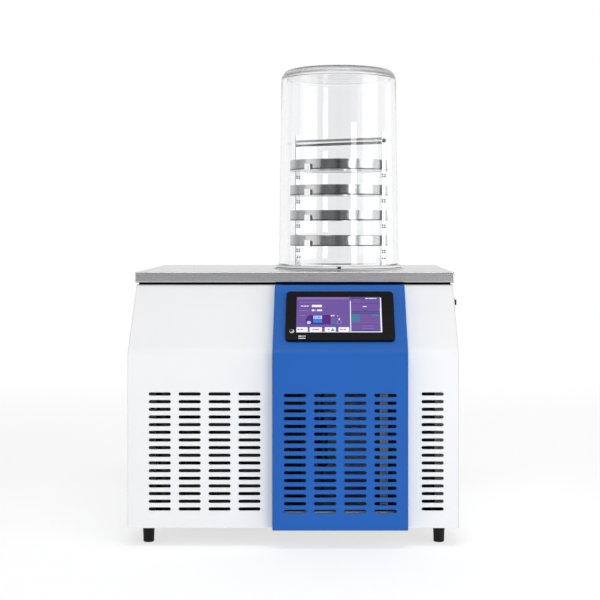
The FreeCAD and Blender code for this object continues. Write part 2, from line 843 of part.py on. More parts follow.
# ---- cold trap and jar -------------------------------------------------------------------
def trap_bucket():
    bucket = ring([(0, trap_floor - trap_wall, 0), (trap_outer, trap_floor - trap_wall, 0),
                   (trap_outer, worktop_height, 0), (trap_radius, worktop_height, 0),
                   (trap_radius, trap_floor, 0), (0, trap_floor, 0)])
    outlet = rod(Vector(jar_x, jar_y, port_z), BACK, port_outer_radius, foam_radius)
    drain = rod(jar_axis + UP * foam_bottom, UP, drain_radius, 2 * foam_thick)
    return bucket.cut(outlet).cut(drain)


def trap_rim():
    """The flange welded round the trap's mouth, with a lip into it."""
    return ring([(trap_radius, worktop_height, 0), (rim_radius, worktop_height, 0),
                 (rim_radius, rim_top, 0), (trap_radius, rim_top, 0)])


def insulation_jacket():
    """Foam round the trap, with the evaporator tube wound inside it."""
    inner = trap_outer + seam
    top = rail_bottom - seam
    floor = trap_floor - trap_wall - seam
    jacket = ring([(0, foam_bottom, 0), (foam_radius, foam_bottom, 0), (foam_radius, top, 0),
                   (inner, top, 0), (inner, floor, 0), (0, floor, 0)])
    outside = 2 * foam_thick
    channels = [rod(Vector(jar_x, jar_y, port_z), BACK, port_outer_radius + seam,
                    foam_radius + outside),
                rod(jar_axis + UP * (foam_bottom - BEYOND), UP, drain_radius + seam, outside),
                rod(suction_tail() - RIGHT * outside, RIGHT, suction_radius + seam, outside),
                rod(liquid_tail() - BACK * outside, BACK, liquid_radius + seam, outside)]
    return jacket.cut(Part.makeCompound(channels))


def jar_gasket():
    """An L-section seal under the jar's foot, with a lip outside it."""
    inner = gasket_outer_radius - gasket_width
    lip = gasket_outer_radius - gasket_lip_thick
    return ring([(inner, rim_top, 0), (gasket_outer_radius, rim_top, 0),
                 (gasket_outer_radius, jar_base + gasket_lip, 0),
                 (lip, jar_base + gasket_lip, 0), (lip, jar_base, 0), (inner, jar_base, 0)])


def bell_jar():
    """Clear moulded jar: flared foot, slightly tapering wall and a flat crown."""
    top = jar_base + jar_height
    inner_neck = jar_neck_radius - jar_wall
    inner_top = jar_top_radius - jar_wall
    flare = jar_base + jar_flare_height
    return ring([
        (inner_neck, jar_base, 0), (jar_foot_radius, jar_base, 0),
        (jar_foot_radius, jar_base + jar_foot_height, 0), (jar_neck_radius, flare, 0),
        (jar_top_radius, top, jar_corner), (0, top, 0),
        (0, top - jar_crown, 0), (inner_top, top - jar_crown, 0)])


# ---- sample rack -------------------------------------------------------------------------
def tray_rim(number):
    """Height of a tray's rim; tray 1 is the top one."""
    return worktop_height + top_tray_rim - (number - 1) * tray_pitch


def shelf_bottom(number):
    return tray_rim(number) - tray_depth - shelf_thick


def rack_upright(side):
    """A flat strip, screwed to the base, each shelf and the handle bar; side is -1 or +1."""
    strip = box(rack_radius, rack_radius + upright_thick, -upright_width / 2,
                upright_width / 2, rim_top + fit, worktop_height + upright_reach)
    rounded = [e for e in strip.Edges
               if abs(e.CenterOfMass.z - worktop_height - upright_reach) < 0.01
               and abs(e.CenterOfMass.y) > upright_width / 2 - 0.01]
    strip = strip.makeFillet(upright_round, rounded)
    if side < 0:
        strip.rotate(Vector(0, 0, 0), UP, 180)
    return in_rack(strip)


def tray_shelf(number):
    """A laser-cut spider under a tray, with folded ends and two tabs that hold the tray."""
    low = shelf_bottom(number)
    high = low + shelf_thick
    end = rack_radius
    half = shelf_arm / 2
    hub = rod(Vector(0, 0, low), UP, shelf_hub_radius, shelf_thick)
    shelf = hub.fuse(box(-end, end, -half, half, low, high))
    tab_inner = tray_radius + fit
    for way in (-1, 1):
        x = way * shelf_tab_offset
        x_low, x_high = x - shelf_tab_width / 2, x + shelf_tab_width / 2
        y_low, y_high = sorted((0, way * (tab_inner + shelf_thick)))
        arm = box(x_low, x_high, y_low, y_high, low, high)
        t_low, t_high = sorted((way * tab_inner, way * (tab_inner + shelf_thick)))
        tab = box(x_low, x_high, t_low, t_high, low, high + shelf_tab_height)
        e_low, e_high = sorted((way * end, way * (end - shelf_thick)))
        fold = box(e_low, e_high, -half, half, low - shelf_fold, high)
        shelf = shelf.fuse([arm, tab, fold])
    return in_rack(shelf.removeSplitter())


def tray(number):
    top = tray_rim(number)
    bottom = top - tray_depth
    inner = tray_radius - tray_wall
    return ring([(0, bottom, 0), (tray_radius, bottom, 0), (tray_radius, top, 0),
                 (inner, top, 0), (inner, bottom + tray_wall, 0), (0, bottom + tray_wall, 0)])


def rack_base():
    """A ring that stands on the trap's rim, with a raised tab for each upright."""
    outer = rack_radius
    base = turned([(outer - rack_base_wall, rim_top, 0), (outer, rim_top, 0),
                   (outer, worktop_height + rack_base_height, 0),
                   (outer - rack_base_wall, worktop_height + rack_base_height, 0)])
    half = upright_width / 2
    for way in (-1, 1):
        x_low, x_high = sorted((way * (outer - rack_base_wall), way * outer))
        base = base.fuse(box(x_low, x_high, -half, half, rim_top,
                             worktop_height + rack_base_tab))
    return in_rack(base.removeSplitter())


def rack_handle():
    return in_rack(rod(Vector(-rack_radius, 0, worktop_height + handle_height), RIGHT,
                       handle_radius, 2 * rack_radius))


# ---- refrigeration -----------------------------------------------------------------------
def condenser_core():
    """Flat tubes brazed between two upright header pipes."""
    pipes = [rod(Vector(x, header_y, condenser_low + seam), UP, header_radius,
                 condenser_height - 2 * seam) for x in (header_left, header_right)]
    half = condenser_tube_depth / 2
    for z in steps(tube_first, tube_pitch, condenser_tube_count):
        pipes.append(box(header_left, header_right, header_y - half, header_y + half,
                         z - condenser_tube_height / 2, z + condenser_tube_height / 2))
    return pipes[0].fuse(pipes[1:]).removeSplitter()


def condenser_fins():
    """The fin packs that fill the rows between the flat tubes."""
    half = condenser_tube_depth / 2 - fin_gap
    reach = header_radius + fin_gap
    packs = []
    for z in steps(tube_first, tube_pitch, condenser_tube_count - 1):
        packs.append(box(header_left + reach, header_right - reach,
                         header_y - half, header_y + half, z + condenser_tube_height / 2,
                         z + tube_pitch - condenser_tube_height / 2))
    return Part.makeCompound(packs)


def fan_shroud():
    """A sheet box round the condenser, standing on the pan, with the fan's ring at its back."""
    wall = frame_sheet
    left, right = condenser_left - wall, condenser_right + wall
    high = condenser_high + wall
    shroud = box(left, right, condenser_front, shroud_back, pan_top, high)
    cuts = [box(left + wall, right - wall, condenser_front - 1, shroud_back - wall,
                condenser_low, high - wall),
            box(left + wall, right - wall, condenser_front - 1, shroud_back + 1,
                pan_top - 1, condenser_low - wall),
            rod(Vector(fan_x, shroud_back - BEYOND, fan_z), BACK, fan_radius + fan_tip_gap,
                2 * BEYOND),
            rod(Vector(header_left, header_y, high - BEYOND), UP, discharge_radius + fit,
                2 * BEYOND),
            rod(Vector(right - BEYOND, header_y, liquid_outlet_z), RIGHT, liquid_radius + fit,
                2 * BEYOND)]
    return shroud.cut(Part.makeCompound(cuts))


def fan_blades():
    """Hub with flat blades set at one pitch, wider towards their tips."""
    hub = rod(Vector(fan_x, fan_hub_front, fan_z), BACK, fan_hub_radius, fan_hub_length)
    root = fan_hub_radius - fan_blade_sink
    tip = fan_radius - fan_blade_end
    half = fan_blade_thick / 2
    corners = [(-fan_root_chord / 2, root, 0), (fan_root_chord / 2, root, 0),
               (fan_tip_chord / 2, tip, 0), (-fan_tip_chord / 2, tip, 0)]
    blades = []
    for turn in steps(0, 360 / fan_blade_count, fan_blade_count):
        blade = prism(corners, lambda u, v: Vector(fan_x + u, fan_plane - half, fan_z + v),
                      BACK * fan_blade_thick)
        blade.rotate(Vector(fan_x, fan_plane, fan_z), UP, fan_blade_pitch)
        blade.rotate(Vector(fan_x, fan_plane, fan_z), BACK, turn)
        blades.append(blade)
    bore = rod(Vector(fan_x, shaft_front, fan_z), BACK, fan_shaft_radius, fan_hub_length)
    return hub.fuse(blades).cut(bore)


def fan_shaft():
    return rod(Vector(fan_x, shaft_front, fan_z), BACK, fan_shaft_radius,
               shaft_back - shaft_front)


def fan_motor():
    """Motor can on three arms from the shroud's back."""
    can = rod(Vector(fan_x, motor_front, fan_z), BACK, motor_radius, motor_length)
    half = motor_arm_width / 2
    plate_y = motor_front + motor_arm_thick
    reach = fan_z + fan_radius + fan_tip_gap + motor_arm_reach
    arm = box(fan_x - half, fan_x + half, motor_front, plate_y, fan_z + motor_radius - half,
              reach)
    foot = box(fan_x - half, fan_x + half, shroud_back, plate_y, reach - motor_arm_thick, reach)
    arms = []
    for turn in steps(0, 120, 3):
        both = arm.fuse(foot)
        both.rotate(Vector(fan_x, 0, fan_z), BACK, turn)
        arms.append(both)
    bore = rod(Vector(fan_x, motor_front - 1, fan_z), BACK, fan_shaft_radius + shaft_play,
               fan_shaft_hold + 2)
    return can.fuse(arms).removeSplitter().cut(bore)


def compressor_mounts():
    spots = [(compressor_x + sx * mount_spacing_x / 2, compressor_y + sy * mount_spacing_y / 2)
             for sx in (-1, 1) for sy in (-1, 1)]
    return Part.makeCompound([rod(Vector(x, y, pan_top), UP, mount_radius, mount_height)
                              for x, y in spots])


def compressor_shell():
    """Welded steel pot with tapered ends on a foot plate."""
    z = shell_bottom
    taper = compressor_foot_taper
    pot = turned([(0, z, 0), (compressor_radius - taper, z, 0),
                  (compressor_radius, z + taper, 0),
                  (compressor_radius, shell_top - compressor_dome, 0),
                  (compressor_crown_radius, shell_top, 0), (0, shell_top, 0)],
                 compressor_x, compressor_y)
    half_x = mount_spacing_x / 2 + mount_border
    half_y = mount_spacing_y / 2 + mount_border
    plate = upright_prism(rectangle(compressor_x - half_x, compressor_x + half_x,
                                    compressor_y - half_y, compressor_y + half_y, mount_border),
                          z - foot_plate, z)
    return pot.fuse(plate)


def compressor_cover():
    """Terminal cover on the front of the pot."""
    front = compressor_y - compressor_radius
    half = cover_box_width / 2
    low = shell_bottom + cover_box_rise
    block = box(compressor_x - half, compressor_x + half, front - cover_box_reach,
                front + cover_box_sink, low, low + cover_box_height)
    pot = rod(Vector(compressor_x, compressor_y, shell_bottom), UP, compressor_radius + seam,
              compressor_body)
    return block.cut(pot)


def discharge_line():
    """From the pot's crown forward and down into the left header."""
    start = Vector(compressor_x, compressor_y - compressor_crown_radius / 2, shell_top)
    run = max(condenser_high, shell_top) + discharge_rise
    points = [start, Vector(start.x, start.y, run), Vector(header_left, start.y, run),
              Vector(header_left, header_y, run),
              Vector(header_left, header_y, condenser_high - seam)]
    return pipe(points, discharge_radius, discharge_bend)


def suction_tail():
    """Where the suction tube ends in the foam."""
    return Vector(jar_x - foam_radius + tail_depth, jar_y, trap_floor + suction_rise)


def liquid_tail():
    """Where the liquid tube ends in the foam."""
    side = jar_x - drier_x
    surface = jar_y - math.sqrt(foam_radius ** 2 - side ** 2)
    return Vector(drier_x, surface + tail_depth, trap_floor + liquid_rise)


def suction_line():
    """From the foam over to the pot's crown."""
    start = suction_tail()
    end = Vector(compressor_x + compressor_crown_radius / 2, compressor_y, shell_top)
    points = [start, Vector(end.x, start.y, start.z), Vector(end.x, end.y, start.z), end]
    return pipe(points, suction_radius, suction_bend)


def filter_drier():
    """A spun copper cylinder with drawn-in ends."""
    neck = liquid_radius + drier_neck_wall
    return turned([(0, drier_low, 0), (neck, drier_low, 0),
                   (drier_radius, drier_low + drier_neck, 0),
                   (drier_radius, drier_high - drier_neck, 0), (neck, drier_high, 0),
                   (0, drier_high, 0)], drier_x, drier_y)


def liquid_line():
    """From the right header to the drier, and from the drier up into the foam."""
    outlet = Vector(header_right + header_radius, header_y, liquid_outlet_z)
    inlet = Vector(drier_x, drier_y, drier_low)
    first = pipe([outlet, Vector(inlet.x, outlet.y, outlet.z),
                  Vector(inlet.x, inlet.y, outlet.z), inlet], liquid_radius, liquid_bend)
    tail = liquid_tail()
    top = Vector(drier_x, drier_y, drier_high)
    second = pipe([top, Vector(top.x, top.y, tail.z), tail], liquid_radius, liquid_tail_bend)
    return Part.makeCompound([first, second])


# ---- electrical side ---------------------------------------------------------------------
def electrical_plate():
    upright = box(plate_left, plate_right, plate_front, plate_back, pan_top, plate_high)
    foot = box(plate_left, plate_right, plate_front - plate_foot, plate_front, pan_top,
               pan_top + frame_sheet)
    return upright.fuse(foot).removeSplitter()


def wiring_ducts():
    """Two cable ducts with grooved faces standing on the plate."""
    half = duct_width / 2
    front = plate_front - duct_depth
    deep = front + duct_groove_depth
    ducts = []
    for x in (plate_left + duct_left_inset, plate_right - duct_right_inset):
        corners = [(x - half, plate_front, 0), (x - half, front, 0)]
        for middle in (x - half / 3, x + half / 3):
            low, high = middle - duct_groove / 2, middle + duct_groove / 2
            corners += [(low, front, 0), (low, deep, 0), (high, deep, 0), (high, front, 0)]
        corners += [(x + half, front, 0), (x + half, plate_front, 0)]
        ducts.append(upright_prism(corners, pan_top + duct_low_gap, plate_high - duct_high_gap))
    return Part.makeCompound(ducts)


def module(margin, rise, size):
    """A block on the plate with a stepped face."""
    width, depth, height = size
    front = plate_front - depth
    low = pan_top + rise
    z = [low + height * share for share in (0, 0.25, 0.75, 1)]
    corners = [(plate_front, z[0], 0), (front + module_step, z[0], 0),
               (front + module_step, z[1], 0), (front, z[1], 0), (front, z[2], 0),
               (front + module_step, z[2], 0), (front + module_step, z[3], 0),
               (plate_front, z[3], 0)]
    left = plate_left + margin
    return prism(corners, lambda y, up: Vector(left, y, up), RIGHT * width)


def terminal_blocks():
    return Part.makeCompound([module(margin, terminal_rise, terminal_size) for margin in
                              steps(terminal_margin, terminal_pitch, terminal_count)])


# ---- rear connections --------------------------------------------------------------------
def vacuum_port():
    """Pipe from the trap's wall through the rear panel to a clamp flange."""
    start = Vector(jar_x, port_front, port_z)
    end = y_back + rear_reach
    length = end - start.y
    body = rod(start, BACK, port_outer_radius, length)
    face = end - port_flange_thick
    clamp = Part.makeCone(port_outer_radius, port_flange_radius, port_flange_thick,
                          Vector(jar_x, face - port_flange_thick, port_z), BACK)
    disc = rod(Vector(jar_x, face, port_z), BACK, port_flange_radius, port_flange_thick)
    stub = rod(Vector(jar_x, sensor_y, port_z), -RIGHT, stub_radius, stub_length)
    body = body.fuse([clamp, disc, stub]).removeSplitter()
    return body.cut(rod(start - BACK * BEYOND, BACK, port_inner_radius, length + 2 * BEYOND))


def vacuum_sensor():
    """Gauge head on the port's side stub."""
    start = Vector(jar_x - stub_length, sensor_y, port_z)
    disc = rod(start, -RIGHT, sensor_flange_radius, sensor_flange_thick)
    head = rod(start - RIGHT * sensor_flange_thick, -RIGHT, sensor_radius, sensor_length)
    return disc.fuse(head)


def vent_valve():
    """Air-inlet needle valve with its tube from the vacuum port."""
    inner = sensor_y + stub_reach
    start = inner - stub_reach
    body = rod(Vector(vent_x, start, port_z), BACK, vent_radius, y_back + vent_reach - start)
    collar = rod(Vector(vent_x, y_back, port_z), BACK, vent_radius + collar_border,
                 collar_thick)
    tube = rod(Vector(jar_x, inner, port_z), RIGHT, vent_tube_radius, vent_spacing)
    port = rod(Vector(jar_x, port_front, port_z), BACK, port_outer_radius, y_back - port_front)
    valve = body.fuse([collar, tube]).removeSplitter().cut(port)
    return valve.cut(rod(Vector(vent_x, y_back, port_z), BACK, stem_radius + shaft_play,
                         2 * vent_reach))


def vent_knob():
    """A fluted knob whose stem turns in the valve."""
    start = Vector(vent_x, y_back + vent_reach + fit, port_z)
    grip = rod(start, BACK, knob_radius, knob_length)
    middle = knob_radius + flute_sink
    flutes = []
    for turn in steps(0, 360 / knob_flutes, knob_flutes):
        flute = rod(start + UP * middle - BACK, BACK, flute_radius, knob_length + 2)
        flute.rotate(start, BACK, turn)
        flutes.append(flute)
    stem = rod(Vector(vent_x, y_back + collar_thick, port_z), BACK, stem_radius, vent_reach)
    return grip.cut(Part.makeCompound(flutes)).fuse(stem)


def drain_tube():
    bottom = trap_floor - trap_wall
    points = [Vector(jar_x, jar_y, bottom), Vector(jar_x, jar_y, drain_z),
              Vector(jar_x, inner_back - valve_inset, drain_z)]
    return pipe(points, drain_radius, drain_bend)


def drain_valve():
    """Ball valve in the rear panel with a hose spigot."""
    start = inner_back - valve_inset
    body = rod(Vector(jar_x, start, drain_z), BACK, valve_radius, valve_back - start)
    collar = rod(Vector(jar_x, y_back, drain_z), BACK, valve_radius + collar_border,
                 collar_thick)
    neck = rod(Vector(jar_x, lever_y, drain_z), UP, neck_radius, valve_radius + neck_rise)
    spigot = rod(Vector(jar_x, valve_back, drain_z), BACK, drain_radius,
                 y_back + rear_reach - valve_back)
    valve = body.fuse([collar, neck, spigot]).removeSplitter()
    return valve.cut(rod(Vector(jar_x, lever_y, drain_z), UP, stem_radius + shaft_play,
                         2 * (valve_radius + neck_rise)))


def drain_lever():
    """Quarter-turn lever, shut across the flow at rest."""
    low = drain_z + valve_radius + neck_rise + fit
    half = lever_half_width
    arm = upright_prism(rectangle(jar_x - half, jar_x + lever_length, lever_y - half,
                                  lever_y + half, lever_round), low, low + lever_thick)
    stem = rod(Vector(jar_x, lever_y, drain_z + 1), UP, stem_radius, low - drain_z)
    return arm.fuse(stem)


def power_inlet():
    """Three-pin appliance inlet in the rear panel."""
    width, height, thick = inlet_plate
    plate = prism(rectangle(inlet_x - width / 2, inlet_x + width / 2, inlet_z - height / 2,
                            inlet_z + height / 2, inlet_corner),
                  lambda x, z: Vector(x, y_back, z), BACK * thick)

    def sunk(size, front):
        across, high, deep = size
        return box(inlet_x - across / 2, inlet_x + across / 2, y_back - deep, front,
                   inlet_z - high / 2, inlet_z + high / 2)

    body = plate.fuse(sunk(inlet_body, y_back)).removeSplitter()
    body = body.cut(sunk(inlet_cavity, y_back + BEYOND))
    floor = y_back - inlet_cavity[2]
    pins = []
    for x, z in pin_places:
        pins.append(box(inlet_x + x - pin_width / 2, inlet_x + x + pin_width / 2, floor - 1,
                        y_back - 1, inlet_z + z - pin_height / 2,
                        inlet_z + z + pin_height / 2))
    return body.fuse(pins)


# ---- build -------------------------------------------------------------------------------
left_columns = steps(left_slot_margin - half_width, slot_column_pitch, slot_columns)
pieces = {
    "base_pan": base_pan(),
    "rubber_feet": rubber_feet(),
    "corner_posts": corner_posts(),
    "top_rails": top_rails(),
    "worktop": worktop(),
    "front_panel_left": front_panel(-inner_x, cover_left + cover_overlap, left_columns),
    "front_panel_right": front_panel(cover_right - cover_overlap, inner_x,
                                     [half_width - right_slot_margin]),
    "front_cover": front_cover(),
    "side_panel_left": side_panel(-1),
    "side_panel_right": side_panel(1),
    "back_panel": back_panel(),
    "display_bezel": display_bezel(),
    "display_screen": display_screen(),
    "display_housing": display_housing(),
    "display_clamps": display_clamps(),
    "switch_frame": switch_frame(),
    "switch_rocker": switch_rocker(),
    "trap_bucket": trap_bucket(),
    "trap_rim": trap_rim(),
    "insulation_jacket": insulation_jacket(),
    "jar_gasket": jar_gasket(),
    "bell_jar": bell_jar(),
    "rack_base": rack_base(),
    "rack_upright_left": rack_upright(-1),
    "rack_upright_right": rack_upright(1),
    "rack_handle": rack_handle(),
    "condenser_core": condenser_core(),
    "condenser_fins": condenser_fins(),
    "fan_shroud": fan_shroud(),
    "fan_blades": fan_blades(),
    "fan_shaft": fan_shaft(),
    "fan_motor": fan_motor(),
    "compressor_shell": compressor_shell(),
    "compressor_mounts": compressor_mounts(),
    "compressor_cover": compressor_cover(),
    "discharge_line": discharge_line(),
    "suction_line": suction_line(),
    "filter_drier": filter_drier(),
    "liquid_line": liquid_line(),
    "electrical_plate": electrical_plate(),
    "wiring_ducts": wiring_ducts(),
    "power_supply": module(module_margin, supply_rise, supply_size),
    "contactor": module(module_margin, contactor_rise, contactor_size),
    "terminal_blocks": terminal_blocks(),
    "vacuum_port": vacuum_port(),
    "vacuum_sensor": vacuum_sensor(),
    "vent_valve": vent_valve(),
    "vent_knob": vent_knob(),
    "drain_tube": drain_tube(),
    "drain_valve": drain_valve(),
    "drain_lever": drain_lever(),
    "power_inlet": power_inlet(),
}
for number in range(1, tray_count + 1):
    pieces["tray_shelf_%d" % number] = tray_shelf(number)
    pieces["tray_%d" % number] = tray(number)

os.makedirs("parts", exist_ok=True)
for name, shape in pieces.items():
    shape.exportStep("parts/%s.step" % name)
    print(name, len(shape.Solids), "solid(s)", "valid" if shape.isValid() else "NOT VALID",
          round(shape.Volume / 1000, 1), "cm3")
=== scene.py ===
# %% [markdown]
# # A benchtop freeze dryer, dressed for the studio
# The engineering model already gives every panel, tube and bracket its size and place. This
# lesson loads it as a fixed frame, gives each piece its real finish, and adds what is too fine
# for an engineering model: rolled slot edges, screws, fins, a lit touch screen and a clear jar
# smooth enough to look through.

# %% Load the frame
import math

import bpy
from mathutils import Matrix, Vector


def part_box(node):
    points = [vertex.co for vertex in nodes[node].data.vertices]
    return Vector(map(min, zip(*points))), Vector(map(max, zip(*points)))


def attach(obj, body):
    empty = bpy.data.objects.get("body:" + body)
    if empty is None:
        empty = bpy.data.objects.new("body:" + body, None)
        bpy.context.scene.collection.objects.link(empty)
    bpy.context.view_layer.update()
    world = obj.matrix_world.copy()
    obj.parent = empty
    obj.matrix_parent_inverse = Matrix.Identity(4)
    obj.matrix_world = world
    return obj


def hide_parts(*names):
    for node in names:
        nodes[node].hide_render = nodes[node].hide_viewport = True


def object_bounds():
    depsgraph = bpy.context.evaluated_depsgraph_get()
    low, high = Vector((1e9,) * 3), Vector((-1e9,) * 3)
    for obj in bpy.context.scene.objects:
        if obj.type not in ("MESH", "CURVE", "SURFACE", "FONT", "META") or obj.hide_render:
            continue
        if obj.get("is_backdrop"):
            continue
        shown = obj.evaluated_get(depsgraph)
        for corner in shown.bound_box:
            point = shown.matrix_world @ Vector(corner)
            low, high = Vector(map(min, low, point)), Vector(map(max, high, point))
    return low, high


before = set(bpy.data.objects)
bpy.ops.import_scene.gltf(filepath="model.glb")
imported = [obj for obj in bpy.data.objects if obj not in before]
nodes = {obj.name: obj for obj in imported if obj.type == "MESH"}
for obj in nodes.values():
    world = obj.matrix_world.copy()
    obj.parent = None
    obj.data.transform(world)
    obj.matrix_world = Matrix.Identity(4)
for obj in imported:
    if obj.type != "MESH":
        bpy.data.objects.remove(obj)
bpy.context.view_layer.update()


def mm(*values):
    """Millimetres to metres, one value or several."""
    scaled = [value / 1000 for value in values]
    return scaled[0] if len(scaled) == 1 else Vector(scaled)


# %% [markdown]
# ## The camera
# A product shot of such a machine is taken square on, from a little above the worktop, with a
# long lens so that the sides don't splay. The camera stands level and its shift, not a tilt,
# centres the machine, because a tilt would make the upright edges lean.

# %% Camera
EYE = (0.063, -2.677, 0.581)    # metres
LENS, SENSOR = 79.26, 36        # millimetres
SHIFT = (-0.0467, -0.124)       # shares of the frame's width
VIEW_END = 60                   # metres, past the end of the floor
camera = bpy.data.objects.new("camera", bpy.data.cameras.new("camera"))
bpy.context.scene.collection.objects.link(camera)
camera.location = EYE
camera.rotation_euler = (math.radians(90), 0, 0)
camera.data.lens = LENS
camera.data.sensor_width = SENSOR
camera.data.shift_x, camera.data.shift_y = SHIFT
camera.data.clip_end = VIEW_END
bpy.context.scene.camera = camera
bpy.context.scene.view_settings.view_transform = "Standard"
print("camera", EYE, LENS, "mm")

# %% [markdown]
# ## Node trees in one line each
# Shaders, the world and Geometry Nodes are all node trees. One small helper adds a node, sets its
# own options and fills its sockets, either with a value or with another node's output, so that
# each tree below reads like a recipe.

# %% Helper for node trees
def put(tree, kind, inputs=None, **settings):
    """Add a node; settings are its options, inputs are values or other nodes' outputs."""
    node = tree.nodes.new(kind)
    for key, value in settings.items():
        setattr(node, key, value)
    for key, value in (inputs or {}).items():
        if isinstance(value, bpy.types.NodeSocket):
            tree.links.new(value, node.inputs[key])
        else:
            node.inputs[key].default_value = value
    return node


def calc(tree, operation, a, b=0.0, c=0.0):
    """The output of one Math node."""
    return put(tree, "ShaderNodeMath", {0: a, 1: b, 2: c}, operation=operation).outputs[0]


def ramp(tree, value, low, high, start=0.0, end=1.0):
    """value eased from start to end as it goes from low to high."""
    node = put(tree, "ShaderNodeMapRange", {"Value": value, "From Min": low, "From Max": high,
                                            "To Min": start, "To Max": end},
               interpolation_type="SMOOTHSTEP")
    return node.outputs["Result"]


def object_point(tree, axis):
    """The X, Y or Z of the shaded point in object coordinates."""
    point = put(tree, "ShaderNodeTexCoord").outputs["Object"]
    return put(tree, "ShaderNodeSeparateXYZ", {0: point}).outputs[axis]


# %% [markdown]
# ## The studio
# The machine stands on a white sweep. Bare steel and clear plastic only look like themselves when
# they have something dark to mirror, so in front of the machine the white surroundings carry grey
# and nearly black upright stripes, as black flags beside a camera do. Everything above is a dim
# ceiling. Only light that has bounced meets the stripes: a look straight past the machine finds
# the plain pale backdrop, from every side.

# %% Surroundings by bearing
# Brightness at bearings in degrees from the front, negative to the left, 180 behind the machine.
AROUND = ((-180, 1.0), (-128, 1.0), (-112, 0.55), (-86, 0.55), (-61, 0.42), (-56, 0.09),
          (-44, 0.09), (-41, 0.26), (-39, 0.26), (-37, 0.05), (-35, 0.05), (-32, 0.20), (-9, 0.20),
          (-5, 0.04), (2, 0.04), (5, 0.20), (13, 0.17), (15, 0.09), (18, 0.09), (21, 0.3),
          (36, 0.62), (60, 0.62), (80, 0.5), (104, 0.5), (122, 1.0), (180, 1.0))
OVERHEAD = 0.36
BACKDROP = 1.0
CEILING_EDGE = (0.45, 0.75)     # sine of the elevation where the walls fade into the ceiling
world = bpy.data.worlds.new("studio")
bpy.context.scene.world = world
world.use_nodes = True
tree = world.node_tree
x, y, z = put(tree, "ShaderNodeSeparateXYZ",
              {0: put(tree, "ShaderNodeTexCoord").outputs["Generated"]}).outputs
bearing = calc(tree, "ARCTAN2", x, calc(tree, "MULTIPLY", y, -1.0))
around = put(tree, "ShaderNodeValToRGB",
             {0: calc(tree, "MULTIPLY_ADD", bearing, 0.5 / math.pi, 0.5)})
stops = around.color_ramp.elements
for degrees, level in AROUND:
    spot = degrees / 360 + 0.5
    stop = stops[-1] if spot == 1 else stops[0] if spot == 0 else stops.new(spot)
    stop.color = (level, level, level, 1)
level = calc(tree, "MULTIPLY_ADD", calc(tree, "SUBTRACT", around.outputs[0], OVERHEAD),
             ramp(tree, z, *CEILING_EDGE, 1, 0), OVERHEAD)
path = put(tree, "ShaderNodeLightPath").outputs
bounced = calc(tree, "GREATER_THAN", calc(tree, "ADD", path["Glossy Depth"],
                                          path["Diffuse Depth"]), 0.5)
seen = calc(tree, "MULTIPLY_ADD", calc(tree, "SUBTRACT", level, BACKDROP), bounced, BACKDROP)
tree.links.new(seen, tree.nodes["Background"].inputs["Color"])
print("surroundings", len(stops), "stops")

# %% [markdown]
# ## The lamps
# Large soft boxes light the machine: one from the right front, one beside the camera, a narrow
# one that draws the bright line on the trays, one from the left and one overhead. The box beside
# the camera is hidden from reflections, because the clear jar would show it as a bright window.
# The side card is the reverse: it lights nothing and only shows as a white reflection in the
# bright uprights and in the right side of the trays.

# %% Soft boxes
AIM = (0.085, 0, 0.5)           # on the jar's axis, at the height of the worktop


def soft_box(name, bearing, distance, height, width, tall, power, mirrored=True, lighting=True):
    """A rectangular lamp at a bearing in degrees from the front, in metres and watts."""
    lamp = bpy.data.lights.new(name, "AREA")
    lamp.shape = "RECTANGLE"
    lamp.size = width
    lamp.size_y = tall
    lamp.energy = power
    holder = bpy.data.objects.new(name, lamp)
    bpy.context.scene.collection.objects.link(holder)
    turn = math.radians(bearing)
    holder.location = (AIM[0] + distance * math.sin(turn), AIM[1] - distance * math.cos(turn),
                       height)
    towards = Vector(AIM) - holder.location
    holder.rotation_euler = towards.to_track_quat("-Z", "Y").to_euler()
    holder.visible_glossy = mirrored
    holder.visible_transmission = mirrored
    holder.visible_diffuse = lighting


# name, bearing, distance, height of the middle, width, how tall, power
soft_box("key_box", 66, 3.4, 1.25, 2.2, 2.4, 28)
soft_box("fill_box", 8, 3.2, 1.3, 2.4, 2.0, 18, mirrored=False)
soft_box("narrow_box", 29.5, 2.7, 0.56, 0.5, 1.0, 7)
soft_box("left_box", -63.5, 2.7, 1.0, 1.9, 1.9, 10)
soft_box("top_box", 0, 1.3, 3.3, 2.2, 1.0, 28)
soft_box("side_card", 103, 2.9, 1.0, 2.6, 2.0, 10, lighting=False)

# %% [markdown]
# ## The floor
# A sheet of pale studio paper runs far behind the machine. It glows a little, as an over-lit
# sweep does, which keeps the contact shadows under the feet soft, and further back it turns into
# an even white, so that its far edge melts into the background.

# %% Floor
REACH, FRONT, BACK = 14, -9, 24          # metres: half the width, nearest and farthest edge
GLOW = 0.56                              # of the paper under the machine; 1 is the backdrop
EVEN_FROM, EVEN_TO = 1.2, 6              # metres behind the machine, where it turns even white
floor_mesh = bpy.data.meshes.new("floor")
floor_mesh.from_pydata([(-REACH, FRONT, 0), (REACH, FRONT, 0), (REACH, BACK, 0),
                        (-REACH, BACK, 0)], [], [(0, 1, 2, 3)])
floor = bpy.data.objects.new("floor", floor_mesh)
bpy.context.scene.collection.objects.link(floor)
paper = bpy.data.materials.new("sweep_paper")
paper.use_nodes = True
tree = paper.node_tree
shader = tree.nodes["Principled BSDF"]
shader.inputs["Base Color"].default_value = (0.50, 0.50, 0.50, 1)
shader.inputs["Roughness"].default_value = 0.9
shader.inputs["Specular IOR Level"].default_value = 0.1
far = object_point(tree, "Y")
glow = put(tree, "ShaderNodeEmission", {"Color": (1, 1, 1, 1),
                                        "Strength": ramp(tree, far, 0, EVEN_TO, GLOW, BACKDROP)})
both = put(tree, "ShaderNodeAddShader", {0: shader.outputs[0], 1: glow.outputs[0]})
